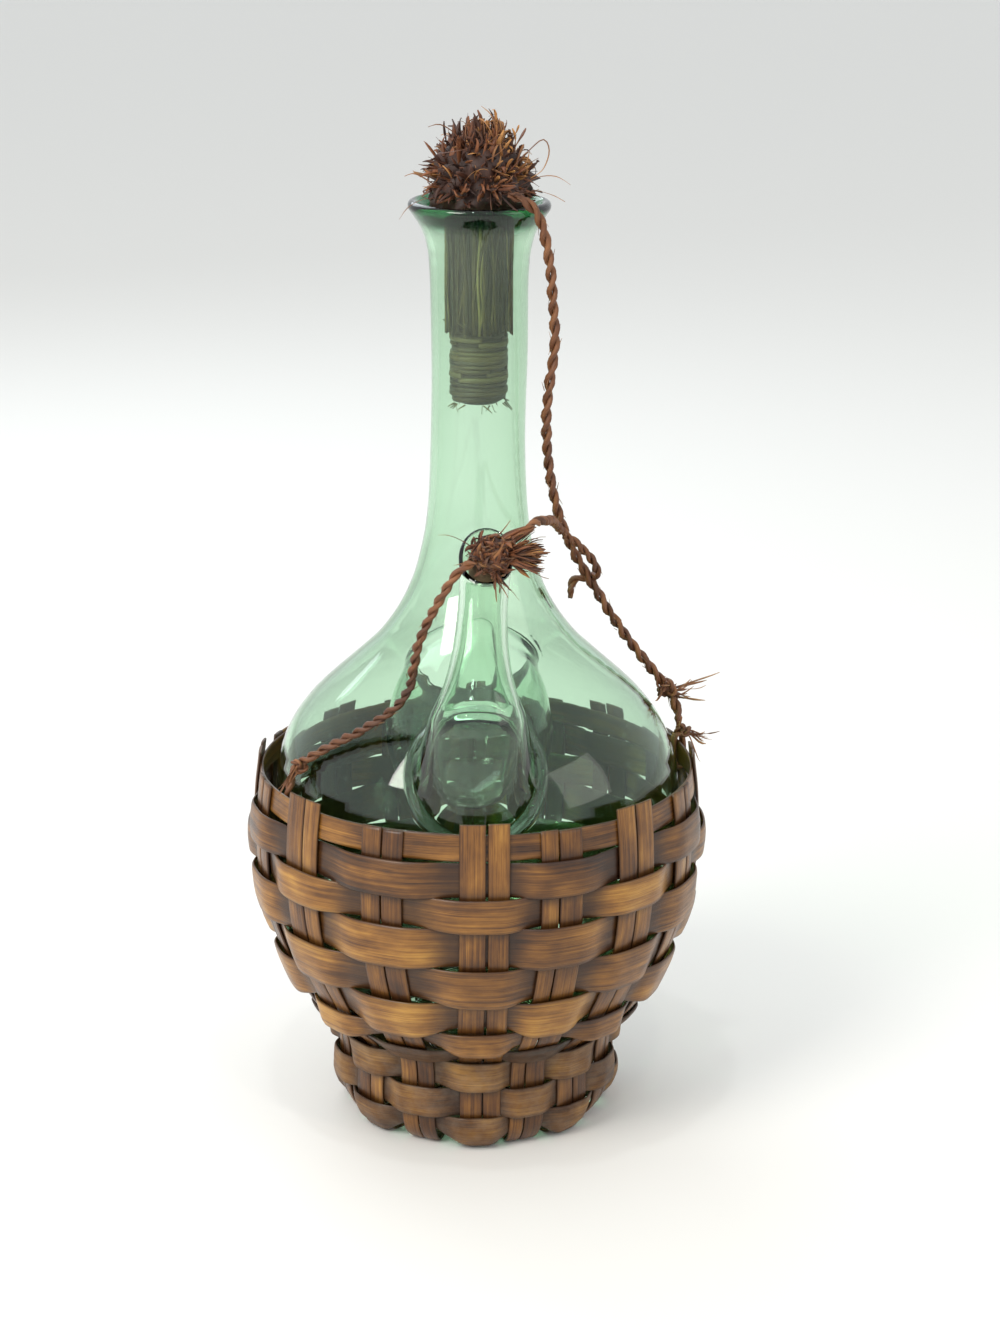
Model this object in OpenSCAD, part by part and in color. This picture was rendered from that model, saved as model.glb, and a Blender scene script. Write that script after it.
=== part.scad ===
// Green glass decanter flask standing in a splint-woven basket.
// Origin: centre of the basket's foot on the table, +Z up, spout towards -Y.

/* [Flask] */
// Greatest outside radius of the glass bulb
bulb_r = 71.6; // [71:0.1:72]
// Wall thickness of the blown glass
glass_t = 2.4; // [2:0.1:2.6]
// Outside radius of the thick flared lip
lip_r = 24; // [23.4:0.1:24.4]
// Height of the top of the lip above the table
lip_z = 327.8; // [327.4:0.1:328]

/* [Pouring spout] */
// Distance of the spout's upright tube in front of the axis
spout_y = 66; // [65:0.5:67]
// Sideways lean of the spout's mouth to the right
spout_x = 3.3; // [2:0.1:4]
// Outside radius of the spout at its mouth
mouth_r = 8.9; // [8.6:0.1:9.2]
// Wall thickness of the drawn spout
spout_t = 1.5; // [1.3:0.1:1.7]
// Slope of the mouth's slanted cut, in degrees
mouth_cut = 40; // [35:1:42]

/* [Ice pocket] */
// Inside radius of the pocket's opening at the back of the shoulder
pocket_open_r = 23.5; // [22:0.5:24]
// Greatest inside radius of the pocket's bulb
pocket_bulb_r = 28.5; // [26:0.5:29]
// Inside depth of the pocket along its own axis
pocket_depth = 63; // [60:1:64]
// Wall thickness of the pocket
pocket_t = 2.2; // [1.8:0.1:2.4]

/* [Basket] */
// Thickness of a stake splint
stake_t = 0.9; // [0.7:0.1:1]
// Width of a stake, two splints side by side
stake_w = 17; // [15:0.5:18]
// Thickness of a weaver splint
weaver_t = 1; // [0.8:0.1:1.1]
// How far a weaver bows out over a stake
bow_out = 2.2; // [2:0.1:2.4]
// How far a weaver dips in behind a stake
bow_in = 1.6; // [1.5:0.1:1.7]
// Height of the tall stakes' tops above the table
tall_z = 133; // [131:0.5:134]

/* [Neck stopper] */
// Radius of the plug's upper part, bare upright fibres
sheath_r = 11.8; // [11:0.1:12.4]
// Radius of the plug's wound lower part
winding_r = 10.3; // [9.8:0.1:10.8]
// Radius of the cork core inside the plug
cork_r = 8.5; // [8:0.1:9]
// Greatest radius of the brush of fibres on top
tuft_r = 21.5; // [20:0.5:22.5]

/* [Cords] */
// Diameter of the cord from the neck stopper to the rim
neck_cord_d = 3.8; // [3.4:0.1:4]
// Diameter of the cords at the spout stopper
spout_cord_d = 3.4; // [3:0.1:3.6]

/* [Hidden] */

// ---------- glass ----------
// Outside of the flask, from the middle of its base to the lip: radius, height
OUT = [[0, 42.5], [12, 41.6], [22, 39], [30, 38], [39, 38.8], [48.5, 42.5],
    [56, 47.5], [62, 54], [66.4, 61], [69.6, 69], [71, 78], [bulb_r - 0.2, 89],
    [bulb_r, 101], [bulb_r, 113], [71.2, 125], [69.3, 134.5], [65.2, 144],
    [59.4, 152], [53.6, 158], [47.6, 163.5], [41.6, 169], [35.4, 175],
    [30, 182], [25.8, 189], [22.1, 197.5], [19.8, 206], [18.1, 215],
    [16.9, 227], [16.3, 243], [16.2, 260], [16.5, 280], [16.7, 300], [17.2, 309.5]];
LIP = [[18.5, 315.5], [20.6, 320], [22.8, 323.2], [lip_r, lip_z - 2.9],
    [lip_r + 0.2, lip_z - 1.5], [lip_r - 0.5, lip_z - 0.3], [lip_r - 1.7, lip_z]];
BORE_LIP = [[20.6, lip_z - 0.9], [18.6, 322.5], [16.6, 317.5]];

function unit(v) = v / norm(v);
// Direction along a list of points at point i
function along(p, i) = unit(p[min(i + 1, len(p) - 1)] - p[max(i - 1, 0)]);
// Points moved sideways by t, towards the inside of the flask
function inset(p, t) = [for (i = [0:len(p) - 1])
    let (d = along(p, i)) [i == 0 ? 0 : p[i][0] - d[1] * t, p[i][1] + d[0] * t]];
function turned(p) = [for (i = [len(p) - 1:-1:0]) p[i]];

IN = inset(OUT, glass_t);

module flask_outside() rotate_extrude($fn = 96)
    polygon(concat(OUT, LIP, [[0, lip_z]]));
module flask_inside() rotate_extrude($fn = 96)
    polygon(concat(IN, turned(BORE_LIP), [[20.6, lip_z + 1], [0, lip_z + 1]]));

// The spout: a bell drawn out of the shoulder, then an upright tube
BELL_TILT = 38;
BELL_S = [-9, 0, 4, 8, 12, 16];
BELL_R = [24, 22.8, 19.8, 17.4, 15.5, 14.2];
TUBE = [[13.9, 155.5], [12.9, 163], [11.6, 172], [10, 181], [9.1, 189],
    [8.5, 197], [8.1, 206], [8.2, 213], [mouth_r, 222], [mouth_r + 0.1, 234]];
module in_bell() translate([0, -57, 144]) rotate([BELL_TILT, 0, 0]) children();
module in_tube() translate([0, -spout_y, 155.5])
    rotate([0, atan(spout_x / 66.5), 0]) translate([0, 0, -155.5]) children();
module spout_form(t) {
    in_bell() rotate_extrude($fn = 64) polygon(concat([[0, BELL_S[0]]],
        [for (i = [0:len(BELL_S) - 1]) [BELL_R[i] - t * 1.2, BELL_S[i]]],
        [[0, BELL_S[len(BELL_S) - 1]]]));
    translate([0, -spout_y, 155.5]) sphere(r = 14 - t * 1.1, $fn = 64);
    in_tube() rotate_extrude($fn = 64) polygon(concat([[0, TUBE[0][1]]],
        [for (p = TUBE) [p[0] - t, p[1]]], [[0, TUBE[len(TUBE) - 1][1]]]));
}
module mouth_cutter() translate([spout_x, -spout_y, 222])
    rotate([mouth_cut, 0, 0]) translate([-15, -15, 0]) cube([30, 30, 24]);

// The ice pocket: radius against depth inwards along its axis
POCKET_TILT = -55;
function pocket_profile(t) = [[0, 5], [pocket_open_r + 1.5 + t, 5],
    [pocket_open_r + 0.5 + t, 1], [pocket_open_r + t, -4],
    [pocket_open_r + 0.6 + t, -11], [pocket_open_r + 3 + t, -19],
    [pocket_bulb_r - 0.6 + t, -28], [pocket_bulb_r + t, -36],
    [pocket_bulb_r - 1.6 + t, -45], [pocket_bulb_r - 6 + t * 0.9, -53],
    [pocket_bulb_r - 13.5 + t * 0.7, -59.5 - t * 0.7],
    [pocket_bulb_r - 22 + t * 0.3, -pocket_depth + 0.6 - t],
    [0, -pocket_depth - t]];
module in_pocket() translate([-3, 58, 150]) rotate([POCKET_TILT, 0, 0]) children();
module pocket_form(t) in_pocket() rotate_extrude($fn = 72) polygon(pocket_profile(t));

module spout_outside() difference() {
    spout_form(0);
    mouth_cutter();
    flask_inside();
}
module glass_flask() color([0.45, 0.68, 0.52, 0.5]) difference() {
    union() {
        difference() {
            flask_outside();
            difference() {
                flask_inside();
                pocket_form(pocket_t);
            }
            pocket_form(0);
        }
        spout_outside();
    }
    spout_form(spout_t);
}

// ---------- neck stopper ----------
module neck_cork() color([0.55, 0.4, 0.22])
    translate([0, 0, 261]) cylinder(r = cork_r, h = 42, $fn = 48);
module neck_winding() color([0.42, 0.33, 0.15]) rotate_extrude($fn = 64)
    polygon([[0, 258.4], [winding_r - 3.4, 258.4], [winding_r - 1.2, 259.4],
        [winding_r - 0.2, 261.4], [winding_r, 264], [winding_r - 0.3, 268],
        [winding_r, 272], [winding_r - 0.3, 276], [winding_r, 280],
        [winding_r - 0.2, 285], [cork_r, 285], [cork_r, 261], [0, 261]]);
module neck_fibre_sheath() color([0.36, 0.27, 0.12]) rotate_extrude($fn = 64)
    polygon([[cork_r, 285], [sheath_r - 0.8, 285], [sheath_r, 288],
        [sheath_r, 314], [sheath_r - 0.3, 327.5], [0, 327.5], [0, 303], [cork_r, 303]]);
module neck_tuft() color([0.33, 0.15, 0.08]) rotate_extrude($fn = 64)
    polygon([[0, 327.5], [sheath_r - 0.3, 327.5], [14.5, 328.4], [18.5, 330.6],
        [tuft_r - 1, 334.5], [tuft_r, 339], [tuft_r - 0.8, 344.5],
        [tuft_r - 4, 349.5], [tuft_r - 9.5, 353.8], [6, 356.6], [0, 357.4]]);

// ---------- spout stopper ----------
HEAD = [2.6, -69.5, 223.6];
module spout_cork() color([0.3, 0.18, 0.1])
    translate([spout_x - 0.2, -spout_y, 213.6]) cylinder(r = 5.6, h = 9.4, $fn = 40);
module spout_winding() color([0.36, 0.16, 0.09]) difference() {
    translate(HEAD) sphere(r = 6.6, $fn = 48);
    translate([spout_x - 0.2, -spout_y, 213]) cylinder(r = 5.6, h = 10, $fn = 40);
    translate(HEAD) rotate([0, 90, -16]) translate([0, 0, 5]) cylinder(r = 7, h = 4, $fn = 40);
    translate(HEAD) rotate([0, 62, 40]) translate([0, 0, 5.6]) cylinder(r = 7, h = 4, $fn = 40);
}
// Brush of cut fibre ends that points to the right of the mouth
module spout_tuft() color([0.42, 0.19, 0.1])
    translate(HEAD) rotate([0, 90, -16]) translate([0, 0, 5])
    cylinder(r1 = 3.4, r2 = 5.8, h = 11.5, $fn = 40);
// Frayed bundle that gathers into the right-hand cord
module spout_bundle() color([0.42, 0.2, 0.1])
    translate(HEAD) rotate([0, 62, 40]) translate([0, 0, 5.6])
    cylinder(r1 = 3, r2 = 1.9, h = 11, $fn = 32);

// ---------- basket ----------
// Where each stake stands, in degrees from the front towards the right.
// Odd stakes stand tall over the rim, even ones are cut flush with it.
STAKE_A = [2.5, 22, 44.5, 67, 92, 118, 139, 160, 182, 203, 225, 247, 268, 288, 311, 336.5];
// Share of a stake's width that its left splint takes
STAKE_S = [0.55, 0.42, 0.5, 0.6, 0.5, 0.45, 0.55, 0.5, 0.48, 0.6, 0.5, 0.55, 0.45, 0.5, 0.56, 0.5];
// Middle line of a stake, from the rim down and in under the foot: radius, height
PATH = [[77.2, 129.5], [78.2, 121.5], [78.8, 112.5], [78.9, 103.5], [78.5, 94.5],
    [77.5, 86], [75.7, 78], [73.2, 70.5], [70.2, 63], [67, 56.5], [64, 50.5],
    [61, 45.5], [57.4, 41.3], [53.8, 38], [51.2, 34.5], [50, 29.5], [49.7, 23],
    [49.7, 16], [49.2, 10], [47.6, 5.4], [44.9, 1.9], [42, 0.445], [38, 0.445],
    [34.5, 1.4], [30, 2.5], [22, 3.8], [13, 4.4], [7.5, 4.6]];
WALL = [for (i = [20:-1:0]) [PATH[i][1], PATH[i][0]]];
BASE = [for (i = [len(PATH) - 1:-1:22]) PATH[i]];
function wall_r(z) = lookup(z, WALL);
function base_z(r) = lookup(r, BASE);
function taper(r) = r >= 60 ? 1 : r >= 46 ? 0.8 + 0.2 * (r - 46) / 14 : 0.8 * r / 46;
function polar(r, a, z) = [r * sin(a), -r * cos(a), z];

// Skin of a row of sections with four corners each; closed joins the last to the first
function skin4(n, closed) = concat(
    [for (i = [0:n - (closed ? 1 : 2)]) for (k = [0:3])
        let (a = 4 * i, b = 4 * ((i + 1) % n), m = (k + 1) % 4)
        each [[a + k, a + m, b + m], [a + k, b + m, b + k]]],
    closed ? [] : [[3, 2, 1], [3, 1, 0],
        [4 * n - 4, 4 * n - 3, 4 * n - 2], [4 * n - 4, 4 * n - 2, 4 * n - 1]]);

// One splint of stake k, from share s0 to s1 of its width
module splint(k, s0, s1) {
    top = k % 2 == 0 ? [[76.8, tall_z]] : [];
    p = concat(top, PATH);
    n = len(p);
    w = stake_w - (k % 2) * 2;
    polyhedron(points = [for (i = [0:n - 1])
        let (d = along(p, i), h = stake_t / 2, r = p[i][0], z = p[i][1], f = w * taper(r),
            a0 = STAKE_A[k] + (s0 - 0.5) * f / r * 180 / PI,
            a1 = STAKE_A[k] + (s1 - 0.5) * f / r * 180 / PI,
            ro = r - d[1] * h, zo = z + d[0] * h, ri = r + d[1] * h, zi = z - d[0] * h)
        each [polar(ro, a0, zo), polar(ro, a1, zo), polar(ri, a1, zi), polar(ri, a0, zi)]],
        faces = skin4(n, false), convexity = 6);
}
module stake(k) color(k % 2 == 0 ? [0.5, 0.3, 0.11] : [0.44, 0.26, 0.1]) {
    splint(k, 0, STAKE_S[k] - 0.015);
    splint(k, STAKE_S[k] + 0.015, 1);
}

// Angle at place u, counted in stakes, between the uneven stakes
function stake_angle(u) = let (i = floor(u), f = u - i, a = STAKE_A[i % 16],
    b = STAKE_A[(i + 1) % 16] + (i % 16 == 15 ? 360 : 0)) a + (b - a) * f;
// In and out wave of a weaver: 1 in front of its stakes, -1 behind the others
function wave(u, phase) = let (c = cos(180 * (u + phase))) sign(c) * pow(abs(c), 0.4);
STEPS = 6;

// A weaver: lower and upper edge, phase 0 over the odd stakes or 1 over the
// even ones, how far its lower edge stands off, and how deep it scallops
module weaver(z0, z1, phase, flare = 0, scallop = 0.4, extra = 0) {
    n = 16 * STEPS;
    color([0.58, 0.37, 0.14]) polyhedron(points = [for (i = [0:n - 1])
        let (u = i / STEPS, a = stake_angle(u), f = wave(u, phase), h = weaver_t / 2,
            d = f > 0 ? f * (bow_out + extra) : f * (bow_in + extra), zl = z0 - scallop * f,
            rl = wall_r(zl) + d + (f > 0 ? f * flare : 0), ru = wall_r(z1) + d)
        each [polar(rl - h, a, zl), polar(ru - h, a, z1), polar(ru + h, a, z1), polar(rl + h, a, zl)]],
        faces = skin4(n, true), convexity = 12);
}
module base_weaver(r0, r1, phase, up = 2, down = 1.5) {
    n = 64;
    color([0.46, 0.28, 0.11]) polyhedron(points = [for (i = [0:n - 1])
        let (u = i / 4, a = stake_angle(u), w = wave(u, phase), f = w > 0 ? w * up : w * down, h = 0.42)
        each [polar(r0, a, base_z(r0) + f - h), polar(r0, a, base_z(r0) + f + h),
            polar(r1, a, base_z(r1) + f + h), polar(r1, a, base_z(r1) + f - h)]],
        faces = skin4(n, true), convexity = 12);
}
// The rim weaver runs level inside every stake
module rim_weaver() color([0.55, 0.34, 0.13]) {
    n = 64;
    polyhedron(points = [for (i = [0:n - 1])
        let (a = 360 * i / n, e = stake_t / 2 + 0.25)
        each [polar(wall_r(120.2) - e - weaver_t, a, 120.2), polar(wall_r(129.3) - e - weaver_t, a, 129.3),
            polar(wall_r(129.3) - e, a, 129.3), polar(wall_r(120.2) - e, a, 120.2)]],
        faces = skin4(n, true), convexity = 12);
}
module weaver_01() weaver(107.2, 118.7, 1, 0, 0.3);
module weaver_02() weaver(96.3, 106.5, 0, 0, 0.4);
module weaver_03() weaver(81.2, 95.4, 1, 0.3, 0.5);
module weaver_04() weaver(66.4, 79.8, 0, 0.8, 1);
module weaver_05() weaver(52.6, 65, 1, 1.6, 2);
module weaver_06() weaver(44.8, 51.2, 0, 3.4, 1.8);
module weaver_07() weaver(36, 41.6, 1, 0, 0.6, 1.1);
module weaver_08() weaver(24.4, 34.6, 0, 0.2, 0.5, 0.8);
module weaver_09() weaver(13.4, 23.4, 1, 0.2, 0.5, 0.5);
module weaver_10() weaver(4.2, 12.4, 0, 0.2, 3.2, 2.2);
module base_weaver_outer() base_weaver(25.5, 30.5, 1, 2.5, 1.85);
module base_weaver_inner() base_weaver(17, 24, 0, 2.5, 2.1);
// Round patch that covers the middle of the base, where the stakes meet
module base_centre() color([0.44, 0.27, 0.1])
    translate([0, 0, 5.4]) cylinder(r = 10.5, h = 1.2, $fn = 48);

// ---------- cords ----------
// From the neck brush over the lip and down to the right of the rim
NECK_ROUTE = [[9.5, -20.8, 332.6], [14.5, -20.2, 330.8], [19.2, -18.4, 326], [21.8, -16, 318],
    [23.8, -13.5, 307], [25, -11.2, 294], [25.6, -9.4, 281], [24.2, -7.8, 268],
    [23.2, -6.2, 255], [23.6, -4.2, 243], [25.2, -2, 231], [28.2, 1, 218],
    [33, 4.6, 205.5], [39.5, 8.6, 193], [46.5, 13, 180.5], [54, 17.4, 168.5],
    [61.6, 21.4, 157.6], [68.4, 24.4, 148.6], [72.2, 24.6, 140.4], [73, 23.8, 134]];
// From the spout stopper's head to the gap inside the left of the rim
LEFT_ROUTE = [[-3.6, -72.9, 220.4], [-7.6, -74.6, 216.6], [-11.4, -73.4, 210], [-15, -70.8, 202.5],
    [-18.5, -67.5, 193.5], [-20.4, -64, 184], [-22.2, -59.5, 174.5], [-27, -54.4, 166.4],
    [-34, -50.4, 159.8], [-41, -47, 154.4], [-48, -43.4, 149.6], [-55, -39.6, 144.4],
    [-61.2, -35.8, 138.8], [-64.2, -34.8, 131.8], [-64.5, -35.4, 124.6], [-64.5, -35.4, 118]];
// From the bundle round the neck cord, with a short hanging tail
RIGHT_ROUTE = [[16.6, -63, 231.2], [20.4, -56.5, 231.6], [23, -46, 229], [25, -32, 225.4],
    [27, -17, 219.8], [29.6, -5, 213.8], [35, -1, 208.4], [39.8, 1.4, 202.4],
    [41.8, 5, 196.6], [38.6, 12, 193.4], [33.6, 11.6, 192], [32.6, 8.6, 186.6]];

// A route made smooth: m pieces on each span, by the four nearest points
function spline(p, m) = [for (i = [0:len(p) - 2]) for (j = [0:m - 1])
    let (t = j / m, a = p[max(i - 1, 0)], b = p[i], c = p[i + 1], d = p[min(i + 2, len(p) - 1)])
    0.5 * (2 * b + (c - a) * t + (2 * a - 5 * b + 4 * c - d) * t * t
        + (3 * b - a - 3 * c + d) * t * t * t)];
function smooth(p, m) = concat(spline(p, m), [p[len(p) - 1]]);
SIDES = 8;
module tube(route, d, ref, m = 1) {
    p = smooth(route, m);
    n = len(p);
    polyhedron(points = [for (i = [0:n - 1])
        let (t = along(p, i), u = unit(cross(t, ref)), v = cross(t, u))
        for (k = [0:SIDES - 1]) p[i] + d / 2 * (cos(45 * k) * u + sin(45 * k) * v)],
        faces = concat([for (i = [0:n - 2]) for (k = [0:SIDES - 1])
            let (a = SIDES * i, b = a + SIDES, q = (k + 1) % SIDES)
            each [[a + k, b + q, a + q], [a + k, b + k, b + q]]],
            [[for (k = [0:SIDES - 1]) k]],
            [[for (k = [SIDES - 1:-1:0]) SIDES * (n - 1) + k]]), convexity = 8);
}
module neck_cord() color([0.42, 0.22, 0.13]) tube(NECK_ROUTE, neck_cord_d, [0.3, 1, 0.2]);
module spout_cord_left() color([0.4, 0.2, 0.12]) tube(LEFT_ROUTE, spout_cord_d, [1, 0.2, 0.3]);
module spout_cord_right() color([0.4, 0.21, 0.12]) tube(RIGHT_ROUTE, spout_cord_d, [0.2, 0.3, 1]);
module rim_knot() color([0.36, 0.18, 0.1])
    translate([68.4, 24.4, 148.6]) sphere(r = 3.9, $fn = 40);
// Band of raffia that ties the neck cord round the rim weaver
module rim_lashing() color([0.38, 0.19, 0.11]) rotate([0, 0, 18]) rotate([90, 0, 0])
    linear_extrude(height = 3.2, center = true) difference() {
        polygon([[74.2, 118.95], [78.4, 118.95], [79.4, 120.4], [79.4, 130.4],
            [78.4, 132], [74.6, 132], [73.6, 130.4], [73.6, 120]]);
        polygon([[75.2, 119.85], [78, 119.85], [78, 130.6], [75.2, 130.6]]);
    }

glass_flask();
neck_cork();
neck_fibre_sheath();
neck_winding();
neck_tuft();
spout_cork();
spout_winding();
spout_tuft();
spout_bundle();
neck_cord();
spout_cord_left();
spout_cord_right();
rim_knot();
rim_lashing();
rim_weaver();
weaver_01();
weaver_02();
weaver_03();
weaver_04();
weaver_05();
weaver_06();
weaver_07();
weaver_08();
weaver_09();
weaver_10();
base_weaver_outer();
base_weaver_inner();
base_centre();
stake(0);  // stake_01
stake(1);  // stake_02
stake(2);  // stake_03
stake(3);  // stake_04
stake(4);  // stake_05
stake(5);  // stake_06
stake(6);  // stake_07
stake(7);  // stake_08
stake(8);  // stake_09
stake(9);  // stake_10
stake(10);  // stake_11
stake(11);  // stake_12
stake(12);  // stake_13
stake(13);  // stake_14
stake(14);  // stake_15
stake(15);  // stake_16
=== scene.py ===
import math

import bmesh
import bpy
import numpy as np
from mathutils import Matrix, Vector


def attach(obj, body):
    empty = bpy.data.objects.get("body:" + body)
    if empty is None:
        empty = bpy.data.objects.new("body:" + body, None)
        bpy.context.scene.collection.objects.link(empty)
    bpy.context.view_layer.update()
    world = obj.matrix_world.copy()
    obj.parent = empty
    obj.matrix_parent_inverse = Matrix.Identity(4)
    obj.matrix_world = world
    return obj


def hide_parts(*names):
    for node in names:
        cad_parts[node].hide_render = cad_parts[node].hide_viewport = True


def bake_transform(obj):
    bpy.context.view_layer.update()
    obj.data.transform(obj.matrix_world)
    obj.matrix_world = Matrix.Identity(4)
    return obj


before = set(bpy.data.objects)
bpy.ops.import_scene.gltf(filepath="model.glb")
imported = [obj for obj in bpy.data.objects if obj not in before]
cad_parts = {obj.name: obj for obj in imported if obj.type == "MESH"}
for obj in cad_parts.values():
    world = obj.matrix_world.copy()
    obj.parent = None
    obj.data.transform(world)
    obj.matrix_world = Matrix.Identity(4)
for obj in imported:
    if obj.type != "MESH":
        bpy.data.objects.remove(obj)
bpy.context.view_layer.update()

scene = bpy.context.scene
MM = 0.001
TAU = 2 * math.pi


# ---------------------------------------------------------------- camera
cam_data = bpy.data.cameras.new("camera")
cam_data.sensor_width = 36.0
cam_data.lens = 36.0 * 2950.0 / 1333.0
cam_data.clip_start, cam_data.clip_end = 0.05, 50.0
cam = bpy.data.objects.new("camera", cam_data)
scene.collection.objects.link(cam)
cam.matrix_world = (Matrix.Translation((0.008, -0.990, 0.476))
                    @ Matrix.Rotation(math.radians(72.5), 4, "X")
                    @ Matrix.Rotation(math.radians(0.4), 4, "Z"))
scene.camera = cam


# ---------------------------------------------------------------- shaders
def new_material(name):
    m = bpy.data.materials.new(name)
    m.use_nodes = True
    nt = m.node_tree
    nt.nodes.clear()
    out = nt.nodes.new("ShaderNodeOutputMaterial")
    p = nt.nodes.new("ShaderNodeBsdfPrincipled")
    nt.links.new(p.outputs[0], out.inputs["Surface"])
    return m, nt, p, out


def node(nt, kind, **values):
    n = nt.nodes.new(kind)
    for k, v in values.items():
        if k in n.inputs:
            n.inputs[k].default_value = v
        else:
            setattr(n, k, v)
    return n


def stretched_noise(nt, coords, su, sv, detail=4.0, rough=0.6, seed=0.0, shift=None):
    """Noise drawn out along a splint or fibre: su across one millimetre along it, sv across its width."""
    mp = node(nt, "ShaderNodeMapping")
    mp.inputs["Scale"].default_value = (su, sv, 1.0)
    mp.inputs["Location"].default_value = (seed, seed * 0.7, seed * 0.3)
    nt.links.new(coords, mp.inputs["Vector"])
    vec = mp.outputs[0]
    if shift is not None:
        add = node(nt, "ShaderNodeVectorMath", operation="ADD")
        nt.links.new(vec, add.inputs[0])
        nt.links.new(shift, add.inputs[1])
        vec = add.outputs[0]
    no = node(nt, "ShaderNodeTexNoise")
    no.inputs["Scale"].default_value = 1.0
    no.inputs["Detail"].default_value = detail
    no.inputs["Roughness"].default_value = rough
    nt.links.new(vec, no.inputs["Vector"])
    return no.outputs["Fac"]


def math_node(nt, op, a, b, clamp=False):
    n = node(nt, "ShaderNodeMath", operation=op, use_clamp=clamp)
    for i, x in enumerate((a, b)):
        if isinstance(x, (int, float)):
            n.inputs[i].default_value = x
        else:
            nt.links.new(x, n.inputs[i])
    return n.outputs[0]


def ramp(nt, fac, stops):
    n = nt.nodes.new("ShaderNodeValToRGB")
    e = n.color_ramp.elements
    while len(e) > 1:
        e.remove(e[-1])
    e[0].position, e[0].color = stops[0][0], (*stops[0][1], 1)
    for pos, col in stops[1:]:
        x = e.new(pos)
        x.color = (*col, 1)
    nt.links.new(fac, n.inputs[0])
    return n.outputs[0]


def mix_color(nt, fac, a, b, mode="MIX"):
    n = node(nt, "ShaderNodeMix", data_type="RGBA", blend_type=mode)
    for i, x in ((0, fac), (6, a), (7, b)):
        if isinstance(x, (int, float)):
            n.inputs[i].default_value = x
        elif isinstance(x, tuple):
            n.inputs[i].default_value = (*x, 1)
        else:
            nt.links.new(x, n.inputs[i])
    return n.outputs[2]


def attribute(nt, name):
    n = nt.nodes.new("ShaderNodeAttribute")
    n.attribute_name = name
    return n.outputs["Fac"]


def splint_material(name, stops, dust=0.0, coat=0.4):
    m, nt, p, out = new_material(name)
    uv = nt.nodes.new("ShaderNodeUVMap")
    uv.uv_map = "grain"
    tone = attribute(nt, "tone")
    edge = attribute(nt, "edge")
    comb = nt.nodes.new("ShaderNodeCombineXYZ")
    nt.links.new(math_node(nt, "MULTIPLY", attribute(nt, "lot"), 91.0), comb.inputs[2])
    coarse = stretched_noise(nt, uv.outputs[0], 0.018, 0.85, 5, 0.62, 3.1, comb.outputs[0])
    fine = stretched_noise(nt, uv.outputs[0], 0.06, 4.6, 4, 0.7, 11.7, comb.outputs[0])
    blotch = stretched_noise(nt, uv.outputs[0], 0.05, 0.09, 3, 0.55, 5.3, comb.outputs[0])
    f = math_node(nt, "ADD", math_node(nt, "MULTIPLY", coarse, 0.62), math_node(nt, "MULTIPLY", fine, 0.38))
    f = math_node(nt, "ADD", f, math_node(nt, "MULTIPLY", math_node(nt, "SUBTRACT", blotch, 0.5), 0.75))
    f = math_node(nt, "ADD", f, math_node(nt, "MULTIPLY", math_node(nt, "SUBTRACT", tone, 0.5), 0.34))
    col = ramp(nt, f, stops)
    # thin dark pores and scratches along the grain
    pores = ramp(nt, fine, [(0.0, (0.25, 0.2, 0.16)), (0.36, (0.5, 0.44, 0.38)), (0.45, (1, 1, 1))])
    col = mix_color(nt, 0.75, col, pores, "MULTIPLY")
    # darkened by the edge value: the splints' side edges and back faces, painted shade where a weaver dips behind a
    # stake and along its top under the row above, and painted shade on a stake where it runs beside a weaver row in
    # front of it
    col = mix_color(nt, math_node(nt, "MULTIPLY", edge, 0.9), col, (0.022, 0.007, 0.002))
    if dust:
        d = stretched_noise(nt, uv.outputs[0], 0.12, 0.2, 5, 0.65, 17.0, comb.outputs[0])
        col = mix_color(nt, math_node(nt, "MULTIPLY", math_node(nt, "SUBTRACT", d, 0.36, True), dust, True),
                        col, (0.34, 0.29, 0.23))
    nt.links.new(col, p.inputs["Base Color"])
    r = math_node(nt, "ADD", math_node(nt, "MULTIPLY", fine, 0.34), 0.28 + 0.25 * dust)
    nt.links.new(r, p.inputs["Roughness"])
    p.inputs["Specular IOR Level"].default_value = 0.3
    p.inputs["Coat Weight"].default_value = coat
    p.inputs["Coat Roughness"].default_value = 0.24
    b = node(nt, "ShaderNodeBump")
    b.inputs["Strength"].default_value = 0.55
    b.inputs["Distance"].default_value = 0.00035
    h = math_node(nt, "ADD", math_node(nt, "MULTIPLY", fine, 0.65), math_node(nt, "MULTIPLY", coarse, 0.8))
    nt.links.new(h, b.inputs["Height"])
    nt.links.new(b.outputs[0], p.inputs["Normal"])
    return m


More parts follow.
